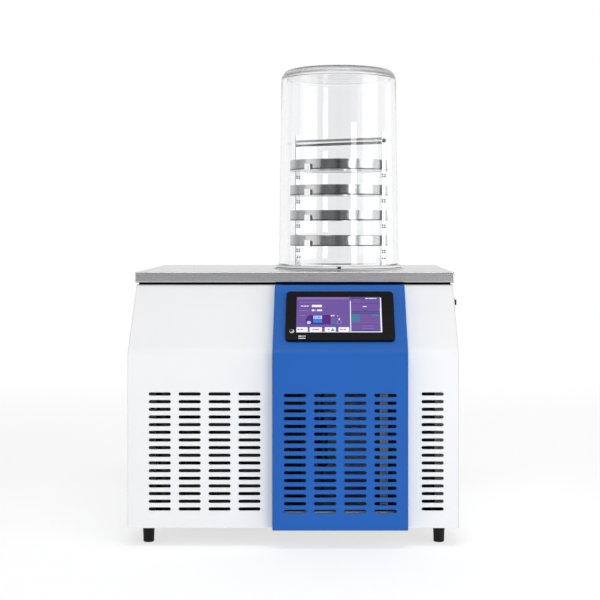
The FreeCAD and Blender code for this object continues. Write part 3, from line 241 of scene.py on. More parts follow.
even = put(tree, "ShaderNodeEmission", {"Color": (1, 1, 1, 1), "Strength": BACKDROP})
mix = put(tree, "ShaderNodeMixShader", {0: ramp(tree, far, EVEN_FROM, EVEN_TO),
                                        1: both.outputs[0], 2: even.outputs[0]})
tree.links.new(mix.outputs[0], tree.nodes["Material Output"].inputs["Surface"])
floor_mesh.materials.append(paper)
floor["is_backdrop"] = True
print("floor", REACH * 2, "m wide")

# %% [markdown]
# ## Finishes
# Every finish here is grown from noise on the piece's own coordinates: a fine grain that raises
# the surface a little and varies its gloss, and a broad mottle that shifts the colour by a few
# percent. Stretching the noise along one axis turns it into the brush lines of rolled steel. One
# recipe with different numbers covers powder coat, rubber, moulded plastic and metal. A number
# that is the same all over a surface goes straight to the shader.

# %% The common recipe
NOISE_LOW, NOISE_HIGH = 0.3, 0.7    # most of a noise texture's values lie between these
GRAIN_HEIGHT = 0.0004               # metres that a grain of full strength stands proud


def finish(name, colour, roughness, metal=0.0, grain=900.0, stretch=(1, 1, 1), bump=0.0,
           mottle=0.04, gloss_shift=0.04, patch=9.0, **constants):
    """A material with grain, mottle and gloss variation on Object coordinates."""
    material = bpy.data.materials.new(name)
    material.use_nodes = True
    tree = material.node_tree
    shader = tree.nodes["Principled BSDF"]
    place = put(tree, "ShaderNodeTexCoord").outputs["Object"]
    drawn = put(tree, "ShaderNodeMapping", {"Vector": place, "Scale": stretch}).outputs[0]
    fine = put(tree, "ShaderNodeTexNoise", {"Vector": drawn, "Scale": grain, "Detail": 3.0})
    broad = put(tree, "ShaderNodeTexNoise", {"Vector": drawn, "Scale": patch, "Detail": 2.0})
    shift = put(tree, "ShaderNodeMapRange", {"Value": broad.outputs[0], "From Min": NOISE_LOW,
                                             "From Max": NOISE_HIGH, "To Min": 1 - mottle,
                                             "To Max": 1 + mottle})
    tint = put(tree, "ShaderNodeVectorMath", {0: tuple(colour), 1: shift.outputs[0]},
               operation="MULTIPLY")
    tree.links.new(tint.outputs[0], shader.inputs["Base Color"])
    rough = put(tree, "ShaderNodeMapRange", {"Value": fine.outputs[0], "From Min": NOISE_LOW,
                                             "From Max": NOISE_HIGH,
                                             "To Min": roughness - gloss_shift,
                                             "To Max": roughness + gloss_shift})
    tree.links.new(rough.outputs[0], shader.inputs["Roughness"])
    shader.inputs["Metallic"].default_value = metal
    if bump:
        raised = put(tree, "ShaderNodeBump", {"Height": fine.outputs[0], "Strength": bump,
                                              "Distance": GRAIN_HEIGHT})
        tree.links.new(raised.outputs[0], shader.inputs["Normal"])
    for key, value in constants.items():
        shader.inputs[key.replace("_", " ")].default_value = value
    return material


# %% Painted sheet
white_coat = finish("white_powder_coat", (0.845, 0.860, 0.875), 0.42, grain=1500, bump=0.18,
                    mottle=0.008, Specular_IOR_Level=0.45)
blue_coat = finish("blue_powder_coat", (0.012, 0.112, 0.45), 0.42, grain=1500, bump=0.18,
                   mottle=0.02, Specular_IOR_Level=0.2)
pan_coat = finish("pan_powder_coat", (0.88, 0.885, 0.89), 0.42, grain=1500, bump=0.18)

# %% Bare metal
brushed_steel = finish("brushed_stainless", (0.625, 0.625, 0.64), 0.27, 1.0, grain=1100,
                       stretch=(0.02, 1, 1), bump=0.05, mottle=0.025, gloss_shift=0.03, patch=30)
polished_steel = finish("polished_stainless", (0.70, 0.71, 0.72), 0.09, 1.0, grain=300,
                        bump=0.02, mottle=0.02, gloss_shift=0.02)
tray_steel = finish("spun_tray_steel", (0.50, 0.505, 0.51), 0.17, 1.0, grain=260,
                    stretch=(1, 1, 5), bump=0.04, mottle=0.03, gloss_shift=0.03)
rack_steel = finish("bright_rack_steel", (0.78, 0.78, 0.79), 0.24, 1.0, grain=500, bump=0.05)
# The second copy gets painted shade on its front edge further on.
upright_steel, edge_shaded_steel = (finish(name, (0.93, 0.93, 0.94), 0.16, 1.0, grain=500, bump=0.03,
                                   mottle=0.01, gloss_shift=0.02)
                            for name in ("bright_upright_steel", "edge_shaded_upright_steel"))
frosted_steel = finish("frosted_trap_steel", (0.95, 0.955, 0.96), 0.6, 0.6, grain=800, bump=0.3,
                       mottle=0.02)
zinc = finish("zinc_sheet", (0.48, 0.49, 0.50), 0.42, 1.0, grain=60, mottle=0.16, patch=40)
aluminium = finish("fin_aluminium", (0.62, 0.63, 0.64), 0.38, 1.0, grain=700, bump=0.1)
nickel = finish("nickel_brass", (0.68, 0.64, 0.55), 0.24, 1.0, grain=500, mottle=0.04)

# %% Plastics, rubber and foam
black_abs = finish("black_moulding", (0.005, 0.005, 0.005), 0.2, grain=2200, bump=0.05,
                   mottle=0.10, Specular_IOR_Level=0.14)
grey_plastic = finish("grey_moulding", (0.16, 0.17, 0.18), 0.5, grain=1500, bump=0.2)
duct_plastic = finish("grey_duct", (0.75, 0.76, 0.77), 0.5, grain=1200, bump=0.15)
rubber = finish("black_rubber", (0.006, 0.006, 0.006), 0.6, grain=900, bump=0.4, mottle=0.2,
                Specular_IOR_Level=0.2)
enamel = finish("black_enamel", (0.012, 0.012, 0.013), 0.28, grain=600, bump=0.05)
foam = finish("grey_foam", (0.30, 0.30, 0.31), 0.9, grain=420, bump=0.8, mottle=0.1)
red_paint = finish("lever_paint", (0.45, 0.02, 0.02), 0.34, grain=900, bump=0.08)
silicone = finish("milky_silicone", (0.95, 0.955, 0.96), 0.38, grain=500, bump=0.06, mottle=0.01,
                  Subsurface_Weight=0.3, Subsurface_Scale=0.004, IOR=1.41)
black_paint = finish("black_frame_paint", (0.012, 0.012, 0.013), 0.5, grain=900, bump=0.1)
sleeve = finish("tube_sleeve", (0.010, 0.010, 0.010), 0.85, grain=700, bump=0.7, mottle=0.2)
print("finishes", len(bpy.data.materials))

# %% [markdown]
# ## Dressing the engineering model
# Most pieces have the right shape already and only need their finish, so each finish here gets
# the list of pieces that wear it. A piece that is made anew further on isn't in the lists.

# %% Dress the CAD pieces
def dress(name, material):
    """Give every material slot of a carried-over piece this finish."""
    for material_slot in nodes[name].material_slots:
        material_slot.material = material


finishes = {
    white_coat: ["front_panel_left", "front_panel_right", "side_panel_left", "side_panel_right",
                 "back_panel"],
    pan_coat: ["base_pan"],
    blue_coat: ["front_cover"],
    brushed_steel: ["worktop"],
    rack_steel: ["rack_base"] + ["tray_shelf_%d" % n for n in range(1, 5)],
    # painted shade on the left upright's front edge, added further on
    edge_shaded_steel: ["rack_upright_left"],
    upright_steel: ["rack_upright_right"],
    polished_steel: ["rack_handle", "vacuum_port"],
    frosted_steel: ["trap_bucket", "trap_rim"],
    tray_steel: ["tray_%d" % n for n in range(1, 5)],
    zinc: ["corner_posts", "top_rails", "display_clamps"],
    black_paint: ["fan_shroud", "electrical_plate", "power_supply", "contactor",
                  "terminal_blocks"],
    sleeve: ["suction_line", "liquid_line", "discharge_line"],
    aluminium: ["fan_shaft"],
    nickel: ["vent_valve", "drain_valve", "vacuum_sensor", "drain_tube"],
    black_abs: ["display_bezel", "switch_frame", "switch_rocker", "power_inlet", "vent_knob"],
    grey_plastic: ["display_housing", "compressor_cover", "fan_blades"],
    duct_plastic: ["wiring_ducts"],
    enamel: ["compressor_shell", "fan_motor", "filter_drier"],
    rubber: ["compressor_mounts"],
    foam: ["insulation_jacket"],
    red_paint: ["drain_lever"],
    silicone: ["jar_gasket"],
}
for material, names in finishes.items():
    for name in names:
        dress(name, material)
print("dressed", sum(len(names) for names in finishes.values()), "of", len(nodes))

# %% [markdown]
# ## Painted shade on an edge, a bend and an underside
# Three finishes change from place to place, and each change is painted shade. The left upright's
# edge that faces the front is painted dark as shade, while its faces stay bright. The worktop is
# painted darker as shade where its sheet bends under. The base pan is coated on its upright
# flanges, and its underside is painted a darker grey as shade, which keeps the floor's shadow
# under the cabinet deep. Each change is a factor on the finish's own colour, made from the
# surface's direction or from its height.

# %% Painted shade on an edge, a bend and an underside
def tone(material, factor):
    """Multiply a finish's colour by a factor that a node gives."""
    tree = material.node_tree
    colour = tree.nodes["Principled BSDF"].inputs["Base Color"]
    toned = put(tree, "ShaderNodeVectorMath", {0: colour.links[0].from_socket, 1: factor},
                operation="MULTIPLY")
    tree.links.new(toned.outputs[0], colour)


def tone_below(material, low, high, share):
    """Take a finish down to a share of its colour at the height low, from all of it at high."""
    tree = material.node_tree
    tone(material, ramp(tree, object_point(tree, "Z"), low, high, share, 1))


# The left upright's front edge is painted dark as shade, on the faces that look this way.
EDGE_WAY = (-0.5, -0.866, 0)    # the way that the left upright's cut edge faces
EDGE_FROM, EDGE_FULL = 0.85, 0.95       # how squarely a face looks that way, as a cosine
EDGE_SHADE_SHARE, BEND_SHADE_SHARE, UNDERSIDE_SHADE_SHARE = 0.04, 0.25, 0.45      # of the finish's own colour
edge_tree = edge_shaded_steel.node_tree
facing = put(edge_tree, "ShaderNodeVectorMath",
             {0: put(edge_tree, "ShaderNodeTexCoord").outputs["Normal"], 1: EDGE_WAY},
             operation="DOT_PRODUCT").outputs["Value"]
tone(edge_shaded_steel, ramp(edge_tree, facing, EDGE_FROM, EDGE_FULL, 1, EDGE_SHADE_SHARE))
bend_z, pan_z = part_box("worktop")[0].z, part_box("base_pan")[0].z
# Painted shade: the worktop is darker along its lower bend.
tone_below(brushed_steel, bend_z, bend_z + mm(2.4), BEND_SHADE_SHARE)
# Painted shade: the pan's underside is a darker grey, which keeps the floor's shadow under the
# cabinet deep.
tone_below(pan_coat, pan_z + mm(2), pan_z + mm(4), UNDERSIDE_SHADE_SHARE)
print("worktop bends at", round(bend_z, 4), "m, pan starts at", round(pan_z, 4), "m")

# %% [markdown]
# ## A turned shape
# The jar, the feet and the beads are turned shapes. A half profile of radius and height is copied
# round the axis in code, with the poles closed, which gives far smoother walls than the
# engineering model's facets and keeps clear plastic free of false edges.

# %% Lathe
def solid(name, points, faces, material, slot, crease=35):
    """A smooth-shaded mesh object that rides on the cabinet."""
    mesh = bpy.data.meshes.new(name)
    mesh.from_pydata(points, [], faces)
    mesh.polygons.foreach_set("use_smooth", [True] * len(mesh.polygons))
    mesh.set_sharp_from_angle(angle=math.radians(crease))
    mesh.materials.append(material)
    thing = bpy.data.objects.new(name, mesh)
    bpy.context.scene.collection.objects.link(thing)
    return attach(thing, "cabinet")


def lathe(profile, centre, segments):
    """Points and faces of a closed profile of (radius, height), wound outwards."""
    points, faces, rings = [], [], []
    for radius, height in profile:
        start = len(points)
        if radius == 0:
            points.append((centre[0], centre[1], height))
            rings.append([start] * segments)
        else:
            for i in range(segments):
                turn = 2 * math.pi * i / segments
                points.append((centre[0] + radius * math.cos(turn),
                               centre[1] + radius * math.sin(turn), height))
            rings.append([start + i for i in range(segments)])
    for lower, upper in zip(rings, rings[1:]):
        for i in range(segments):
            j = (i + 1) % segments
            corners = []
            for corner in (lower[i], lower[j], upper[j], upper[i]):
                if corner not in corners:
                    corners.append(corner)
            if len(corners) > 2:
                faces.append(corners)
    return points, faces


def arc(centre_r, centre_z, radius, start, end, count):
    """Profile points round a corner, angles in degrees from outwards to upwards."""
    turns = [math.radians(start + (end - start) * i / count) for i in range(count + 1)]
    return [(centre_r + radius * math.cos(t), centre_z + radius * math.sin(t)) for t in turns]


# %% [markdown]
# ## The bell jar
# The jar is one piece of clear acrylic: a foot that flares out to the seal, a long wall with a
# trace of taper, and a flat crown with a rounded shoulder. What shows is the thickness of its
# wall, so the profile is a closed loop with the real 8 mm between its two sides. The wall keeps
# its thickness through the flare, because a wedge there would bend the view as a prism does.

# %% The jar's profile
jar_low, jar_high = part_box("bell_jar")
jar_centre = ((jar_low.x + jar_high.x) / 2, (jar_low.y + jar_high.y) / 2)
base, crown = jar_low.z, jar_high.z
foot_r = (jar_high.x - jar_low.x) / 2
neck_r, top_r = foot_r - mm(2.5), foot_r - mm(7.5)
wall, ceiling, foot_edge = mm(8), crown - mm(18), mm(1)
flare, slope_foot, slope_top = base + mm(5), base + mm(1.6), base + mm(3.4)
foot_out, slope_out = mm(2.1), mm(0.4)
shoulder, inner_shoulder = mm(21), mm(3)
inner_neck, inner_top = neck_r - wall, top_r - wall


def tapered(low_r, high_r, high):
    """Profile points up a wall, from the flare to its shoulder."""
    return [(low_r + (high_r - low_r) * share, flare + (high - flare) * share)
            for share in (0, 0.004, 0.25, 0.5, 0.75)]


jar_profile = [(inner_neck + foot_out, base), (foot_r - foot_edge, base)]
jar_profile += arc(foot_r - foot_edge, base + foot_edge, foot_edge, -90, 60, 5)[1:]
jar_profile += [(neck_r + slope_out, slope_top)]
jar_profile += tapered(neck_r, top_r, crown - shoulder)
jar_profile += arc(top_r - shoulder, crown - shoulder, shoulder, 0, 90, 12)
jar_profile += [(0, crown), (0, ceiling)]
jar_profile += arc(inner_top - inner_shoulder, ceiling - inner_shoulder, inner_shoulder, 90, 0, 6)
jar_profile += tapered(inner_neck, inner_top, ceiling - inner_shoulder)[::-1]
jar_profile += [(inner_neck + slope_out, slope_top), (inner_neck + foot_out, slope_foot)]
jar_profile += jar_profile[:1]
print("jar wall", round(wall, 4), "m thick,", len(jar_profile), "profile points")

# %% [markdown]
# ## Clear acrylic
# Clear plastic is glass to the shader, with acrylic's bending of light, 1.49. The wall is
# polished and the crown's flat top is satin. A second, simple shader for shadow rays lets the
# lamps through the jar, as the real one does.

# %% Jar
SATIN_FROM, SATIN_FULL = crown - mm(24), crown - mm(15)
POLISHED, SATIN = 0.012, 0.20
acrylic = finish("clear_acrylic", (0.955, 0.962, 0.966), 0.015, grain=30, mottle=0.0,
                 gloss_shift=0.008, IOR=1.49, Transmission_Weight=1.0)
tree = acrylic.node_tree
satin = ramp(tree, object_point(tree, "Z"), SATIN_FROM, SATIN_FULL, POLISHED, SATIN)
tree.links.new(satin, tree.nodes["Principled BSDF"].inputs["Roughness"])
shadow = put(tree, "ShaderNodeLightPath").outputs["Is Shadow Ray"]
through = put(tree, "ShaderNodeBsdfTransparent", {"Color": (0.94, 0.945, 0.945, 1)})
mix = put(tree, "ShaderNodeMixShader", {0: shadow, 1: tree.nodes["Principled BSDF"].outputs[0],
                                        2: through.outputs[0]})
tree.links.new(mix.outputs[0], tree.nodes["Material Output"].inputs["Surface"])
jar = solid("jar", *lathe(jar_profile, jar_centre, segments=144), acrylic, "clear_acrylic")
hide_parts("bell_jar")
print("jar", len(jar.data.polygons), "faces, crown at", round(crown, 4))

# %% [markdown]
# ## Rubber feet
# The feet are moulded rubber, a little wider where they meet the cabinet, with a steel washer
# above and a soft edge below.

# %% Feet
feet_low, feet_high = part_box("rubber_feet")
foot_top, foot_inset = feet_high.z, mm(10.5)
washer_r, washer_base, rubber_top = mm(10.4), foot_top - mm(1.5), foot_top - mm(1.6)
foot_profile = [(0, 0), (mm(8.6), 0), (mm(9.6), mm(0.6)), (mm(9.9), mm(1.6)),
                (mm(10.2), mm(14)), (mm(10.9), mm(29)), (mm(10.6), mm(31)),
                (mm(10.6), rubber_top), (0, rubber_top)]
washer_profile = [(0, washer_base), (washer_r, washer_base), (washer_r, foot_top), (0, foot_top)]
for i, x in enumerate((feet_low.x + foot_inset, feet_high.x - foot_inset)):
    for j, y in enumerate((feet_low.y + foot_inset, feet_high.y - foot_inset)):
        number = 2 * i + j + 1
        foot = solid("foot_%d" % number, *lathe(foot_profile, (x, y), segments=40), rubber,
                     "foot_rubber")
        if number == 1:
            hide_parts("rubber_feet")
        solid("foot_washer_%d" % number, *lathe(washer_profile, (x, y), segments=40), zinc,
              "zinc_sheet")
print("feet stand", round(foot_top, 4), "m tall")

# %% [markdown]
# ## Painted shade in beads and rings, and a plug
# A dark bead runs round the bottom edge of each tray, painted shade along the tray's lower edge.
# Thin dark rings are painted shade where the trap's rim meets the worktop, at the foot of the
# seal and where the seal grips the jar, and a small plug stands on the rim in front of the jar.
# All are turned shapes.

# %% Beads and painted shade rings
def band(name, radius, low, high, depth, material, slot):
    """A thin ring round the jar's axis, with a round outer edge, from low to high."""
    middle, half = (low + high) / 2, (high - low) / 2
    profile = [(radius - depth, low)]
    profile += [(radius - half + half * math.cos(t), middle + half * math.sin(t))
                for t in (math.pi * (i / 6 - 0.5) for i in range(7))]
    profile += [(radius - depth, high), (radius - depth, low)]
    solid(name, *lathe(profile, jar_centre, segments=96), material, slot)


# Dark steel: painted shade in the trays' beads, and the plug's own dark colour.
plug_and_shade_bead = finish("plug_and_shaded_tray_bead", (0.07, 0.07, 0.072), 0.25, 1.0, grain=900, bump=0.05)
# Near-black rings: painted shade where the rim, the seal and the jar meet.
shade_ring_paint = finish("painted_shade_ring", (0.012, 0.012, 0.013), 0.4, grain=700, bump=0.2)
for n in range(1, 5):
    tray_low, tray_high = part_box("tray_%d" % n)
    bead_r = (tray_high.x - tray_low.x) / 2 + mm(0.7)
    band("tray_bead_%d" % n, bead_r, tray_low.z - mm(0.4), tray_low.z + mm(1.9), mm(1.7),
         plug_and_shade_bead, "tray_steel")
rim_low, rim_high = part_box("trap_rim")
seal_low, seal_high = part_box("jar_gasket")
rim_r, seal_r = (rim_high.x - rim_low.x) / 2, (seal_high.x - seal_low.x) / 2
for name, radius, low, high, depth in (
        ("rim_seam", rim_r + mm(1.0), rim_low.z, rim_low.z + mm(0.5), mm(1.6)),
        ("seal_seam", seal_r + mm(0.7), rim_high.z, rim_high.z + mm(1.3), mm(1.2)),
        ("jar_seam", foot_r + mm(0.9), seal_high.z - mm(0.3), seal_high.z + mm(0.2), mm(0.8))):
    band(name, radius, low, high, depth, shade_ring_paint, "foot_rubber")
print("tray bead radius", round(bead_r, 4))

# %% Rim plug
plug_outline = ((0, 0), (3.6, 0), (3.8, 0.8), (3.4, 4.6), (2.6, 5.4), (1.5, 5.4), (1.2, 4.2),
                (0, 4.2))       # radius and height above the rim
plug_profile = [(mm(radius), rim_high.z + mm(height)) for radius, height in plug_outline]
plug_y = rim_low.y + mm(3.6)
solid("rim_plug", *lathe(plug_profile, (jar_centre[0], plug_y), segments=24), plug_and_shade_bead,
      "foot_rubber")
print("plug stands at", round(jar_centre[0], 4), round(plug_y, 4))

# %% [markdown]
# ## Repeats by Geometry Nodes
# The machine has hundreds of equal small things: slot edges, rivets, screws and fins. Each kind
# is one Geometry Nodes tree that makes a single item and copies it onto rows and columns of
# points, with its sizes as named inputs. Every use below gives, in millimetres, the first item's
# middle, then how many columns and the step between them, and the same for rows. The result is
# turned into a plain mesh before it joins the frame.

# %% Tools for repeats
LATTICE = {"First": "Vector", "Column Step": "Vector", "Row Step": "Vector", "Columns": "Int",
           "Rows": "Int", "Turn": "Vector", "Material": "Material"}


def new_tree(name, **sizes):
    """A tree with a socket for each size, the lattice's sockets and a geometry output."""
    tree = bpy.data.node_groups.new(name, "GeometryNodeTree")
    for key, value in sizes.items():
        socket = tree.interface.new_socket(key.replace("_", " "), socket_type="NodeSocketFloat")
        socket.default_value = value
    for key, kind in LATTICE.items():
        tree.interface.new_socket(key, socket_type="NodeSocket" + kind)
    tree.interface.new_socket("Geometry", in_out="OUTPUT", socket_type="NodeSocketGeometry")
    return tree, put(tree, "NodeGroupInput").outputs


def close_tree(tree, given, item):
    """Copy the item onto rows and columns of points, realize it and set its material."""
    row = put(tree, "GeometryNodeMeshLine", {"Count": given["Columns"],
                                             "Start Location": given["First"],
                                             "Offset": given["Column Step"]})
    column = put(tree, "GeometryNodeMeshLine", {"Count": given["Rows"],
                                                "Offset": given["Row Step"]})
    grid = put(tree, "GeometryNodeInstanceOnPoints", {"Points": column.outputs[0],
                                                      "Instance": row.outputs[0]})
    points = put(tree, "GeometryNodeRealizeInstances", {"Geometry": grid.outputs[0]})
    turn = put(tree, "FunctionNodeEulerToRotation", {0: given["Turn"]})
    copies = put(tree, "GeometryNodeInstanceOnPoints", {"Points": points.outputs[0],
                                                        "Instance": item,
                                                        "Rotation": turn.outputs[0]})
    real = put(tree, "GeometryNodeRealizeInstances", {"Geometry": copies.outputs[0]})
    painted = put(tree, "GeometryNodeSetMaterial", {"Geometry": real.outputs[0],
                                                    "Material": given["Material"]})
    put(tree, "NodeGroupOutput", {"Geometry": painted.outputs[0]})


def repeat(name, tree, slot, material, first, columns=(1, (0, 0, 0)), rows=(1, (0, 0, 0)),
           turn=(0, 0, 0), **sizes):
    """Run a tree with these inputs, keep its plain mesh and let it ride on the cabinet."""
    thing = bpy.data.objects.new(name, bpy.data.meshes.new(name))
    bpy.context.scene.collection.objects.link(thing)
    modifier = thing.modifiers.new("repeat", "NODES")
    modifier.node_group = tree
    given = {"First": mm(*first), "Column Step": mm(*columns[1]), "Row Step": mm(*rows[1]),
             "Columns": columns[0], "Rows": rows[0], "Material": material,
             "Turn": [math.radians(angle) for angle in turn]}
    given.update({key.replace("_", " "): mm(value) for key, value in sizes.items()})
    for socket in tree.interface.items_tree:
        if socket.name in given:
            modifier[socket.identifier] = given[socket.name]
    graph = bpy.context.evaluated_depsgraph_get()
    mesh = bpy.data.meshes.new_from_object(thing.evaluated_get(graph), depsgraph=graph)
    thing.modifiers.clear()
    thing.data = mesh
    print(name, columns[0] * rows[0], "copies,", len(mesh.polygons), "faces")
    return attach(thing, "cabinet")


# %% [markdown]
# ## Slot edges
# The cooling slots are punched and then painted, so each has a soft rolled lip where the powder
# gathers. The tree bends a thin bead round a rectangle whose corners are filleted to full round
# ends, and lays it on the sheet's face.

# %% Slot lips
def round_rectangle(tree, across, up, radius):
    """A rectangle's outline with filleted corners."""
    outline = put(tree, "GeometryNodeCurvePrimitiveQuadrilateral", {"Width": across,
                                                                    "Height": up})
    return put(tree, "GeometryNodeFilletCurve", {"Curve": outline.outputs[0], "Count": 3,
                                                 "Radius": radius}, mode="POLY").outputs[0]


lip_tree, given = new_tree("slot_lips", Length=0.04, Width=0.006, Bead=0.0004)
nearly_half = calc(lip_tree, "MULTIPLY", given["Width"], 0.499)
ends = round_rectangle(lip_tree, given["Length"], given["Width"], nearly_half)
bead = put(lip_tree, "GeometryNodeCurvePrimitiveCircle", {"Resolution": 4,
                                                          "Radius": given["Bead"]})
lip = put(lip_tree, "GeometryNodeCurveToMesh", {"Curve": ends, "Profile Curve": bead.outputs[0]})
close_tree(lip_tree, given, lip.outputs[0])

# %% Slots of the front, the sides and the back
panel_y, cover_y = (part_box(name)[0].y * 1000 for name in ("front_panel_left", "front_cover"))
SIDE_X, BACK_Y = 300, 273       # faces of the side panels and of the back panel
LOW_ROW, ROWS = 69, (16, (0, 0, 13.85))
COLUMN_STEP = (54, 0, 0)
short_lip = {"Length": 40.5, "Width": 6.5, "Bead": 0.3}
long_lip = {"Length": 120.5, "Width": 8.5, "Bead": 0.3}
for name, slot, material, x, y, columns in (
        ("slot_lips_left", "white_paint", white_coat, -241, panel_y, 4),
        ("slot_lips_cover", "blue_paint", blue_coat, 4, cover_y, 4),
        ("slot_lips_right", "white_paint", white_coat, 252, panel_y, 1)):
    repeat(name, lip_tree, slot, material, (x, y, LOW_ROW), (columns, COLUMN_STEP), ROWS,
           (90, 0, 0), **short_lip)
for side, name in ((-1, "vent_lips_left"), (1, "vent_lips_right")):
    repeat(name, lip_tree, "white_paint", white_coat, (side * SIDE_X, 90, 110),
           (3, (0, 54, 0)), (5, (0, 0, 27.7)), (90, 0, 90), **short_lip)
repeat("vent_lips_back", lip_tree, "white_paint", white_coat, (-175, BACK_Y, 100),
       (2, (140, 0, 0)), (10, (0, 0, 20)), (90, 0, 180), **long_lip)

# %% [markdown]
# ## Screws and rivets
# Hollow rivets hold the tray rack together, four at each shelf and two at each foot, and
# flat-topped screws hold the panels. Both are a short stack of extruded rings: a flange, a
# rounded shoulder and a sunk middle that reads as a dark ring from a distance.

# %% Fastener heads
def welded(tree, *parts):
    """Parts joined into one skin, with the points merged where they meet."""
    whole = put(tree, "GeometryNodeJoinGeometry")
    for part in parts:
        tree.links.new(part, whole.inputs[0])
    return put(tree, "GeometryNodeMergeByDistance", {"Geometry": whole.outputs[0],
                                                     "Distance": 0.00001}).outputs[0]


head_tree, given = new_tree("fastener_heads", Radius=0.002, Height=0.001, Recess=0.0005)
disc = put(head_tree, "GeometryNodeMeshCircle", {"Vertices": 12, "Radius": given["Radius"]},
           fill_type="NGON").outputs[0]
under = put(head_tree, "GeometryNodeFlipFaces", {"Mesh": disc}).outputs[0]
shape, top = disc, None
for rise, shrink in ((calc(head_tree, "MULTIPLY", given["Height"], 0.55), 1.0),
                     (calc(head_tree, "MULTIPLY", given["Height"], 0.45), 0.8),
                     (0.0, 0.56),
                     (calc(head_tree, "MULTIPLY", given["Recess"], -1.0), 0.9)):
    inputs = {"Mesh": shape, "Offset Scale": rise, "Individual": False}
    if top:
        inputs["Selection"] = top
    step = put(head_tree, "GeometryNodeExtrudeMesh", inputs)
    top = step.outputs["Top"]
    shape = put(head_tree, "GeometryNodeScaleElements",
                {"Geometry": step.outputs["Mesh"], "Selection": top, "Scale": shrink}).outputs[0]
close_tree(head_tree, given, welded(head_tree, under, shape))

# %% Rivets and bolts of the rack
screw_steel = finish("screw_steel", (0.5, 0.5, 0.5), 0.3, 1.0, grain=900, bump=0.05)
# On the tab pads this dark steel is painted shade; on the rivets and bolts it is their own colour.
dark_steel = finish("dark_rivet_and_shade_pad_steel", (0.02, 0.02, 0.022), 0.35, 1.0, grain=900, bump=0.05)
rack_x, rack_y, rack_turn = 85, 48, -30     # the rack's axis, and how far it is turned round it
outer_face, inner_face, fold_wall = 102.5, 99.5, 1.5
pair, upper_drop, lower_drop = 9.0, 10, 14.4
foot_rivet_z, handle_z = 515, 753
rivet = {"Radius": 1.8, "Height": 1.0, "Recess": 0.6}
tray_z = [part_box("tray_%d" % n)[0].z * 1000 for n in range(4, 0, -1)]
tray_step = tray_z[1] - tray_z[0]


def on_rack(across, outward, height):
    """A point of the rack, from its axis: along the uprights' face and outwards to the right."""
    turn = math.radians(rack_turn)
    return (rack_x + outward * math.cos(turn) - across * math.sin(turn),
            rack_y + outward * math.sin(turn) + across * math.cos(turn), height)


pair_step = [b - a for a, b in zip(on_rack(-pair / 2, 0, 0), on_rack(pair / 2, 0, 0))]
for side, name in ((1, "right"), (-1, "left")):
    for facing, shelf_face, foot_face in ((1, outer_face, outer_face),
                                          (-1, inner_face, inner_face - fold_wall)):
        turn = (90, 0, rack_turn + 90 * side * facing)
        for row, drop in (("upper", upper_drop), ("lower", lower_drop)):
            first = on_rack(-pair / 2, side * shelf_face, tray_z[0] - drop)
            repeat("rack_rivets_%s_%s_%d" % (name, row, facing > 0), head_tree, "tray_steel",
                   dark_steel, first, (2, pair_step), (4, (0, 0, tray_step)), turn, **rivet)
        first = on_rack(-pair / 2, side * foot_face, foot_rivet_z)
        repeat("base_rivets_%s_%d" % (name, facing > 0), head_tree, "tray_steel", dark_steel,
               first, (2, pair_step), turn=turn, **rivet)
    repeat("handle_bolt_" + name, head_tree, "polished_steel", dark_steel,
           on_rack(0, side * outer_face, handle_z), turn=(90, 0, rack_turn + 90 * side),
           Radius=4.6, Height=2.4, Recess=1.6)

# %% [markdown]
# ## Painted shade pads on the shelf tabs
# The folded tabs that carry the trays end in a small dark pad at the front and at the back,
# painted shade where the tray's clip throws its shadow. Each is a thin plate with round corners:
# a filled outline, extruded, and closed underneath.

# %% Painted shade pads
pad_tree, given = new_tree("tab_shade_pads", Width=0.003, Height=0.011, Thickness=0.001)
rounded = round_rectangle(pad_tree, given["Width"], given["Height"],
                          calc(pad_tree, "MULTIPLY", given["Width"], 0.4))
face = put(pad_tree, "GeometryNodeFillCurve", {"Curve": rounded}, mode="NGONS").outputs[0]
block = put(pad_tree, "GeometryNodeExtrudeMesh", {"Mesh": face, "Individual": False,
                                                  "Offset Scale": given["Thickness"]})
under = put(pad_tree, "GeometryNodeFlipFaces", {"Mesh": face}).outputs[0]
close_tree(pad_tree, given, welded(pad_tree, under, block.outputs[0]))
tab_edge, pad_r, pad_rise = 4.9, 100.2, 4
# Painted shade: a dark pad beside each tab, where the tray's clip throws its shadow.
for side, name, half_turn in ((-1, "front", 0), (1, "back", 180)):
    first = on_rack(side * pad_r, side * tab_edge, tray_z[0] + pad_rise)
    repeat("tab_shade_pads_" + name, pad_tree, "tray_steel", dark_steel, first,
           rows=(4, (0, 0, tray_step)), turn=(90, 0, rack_turn + half_turn), Width=3.0,
           Height=11.0, Thickness=1.4)

# %% Screws of the cabinet
low_screw_z, high_screw_z, back_screw_x, side_screw_y = 44, 459, -288, -262
back_screw = {"Radius": 3.4, "Height": 1.5, "Recess": 0.9}
for name, z, columns, rows in (("low", low_screw_z, (5, (144, 0, 0)), (1, (0, 0, 0))),
                               ("high", high_screw_z, (5, (144, 0, 0)), (1, (0, 0, 0))),
                               ("sides", 148, (2, (576, 0, 0)), (3, (0, 0, 104)))):
    repeat("back_screws_" + name, head_tree, "zinc_sheet", screw_steel,
           (back_screw_x, BACK_Y, z), columns, rows, (90, 0, 180), **back_screw)
for side, name in ((-1, "left"), (1, "right")):
    repeat("side_screws_" + name, head_tree, "zinc_sheet", screw_steel,
           (side * SIDE_X, side_screw_y, low_screw_z), (4, (0, 170, 0)),
           turn=(90, 0, side * 90), Radius=2.8, Height=0.9, Recess=0.5)

# %% [markdown]
# ## Condenser fins
# Behind the left slots stands the condenser. Its flat tubes are bridged by hundreds of thin wavy
# fins coated black, and through the slots they read as a fine dark texture. Each fin is a thin
# sheet, waved by moving its points in the tree.

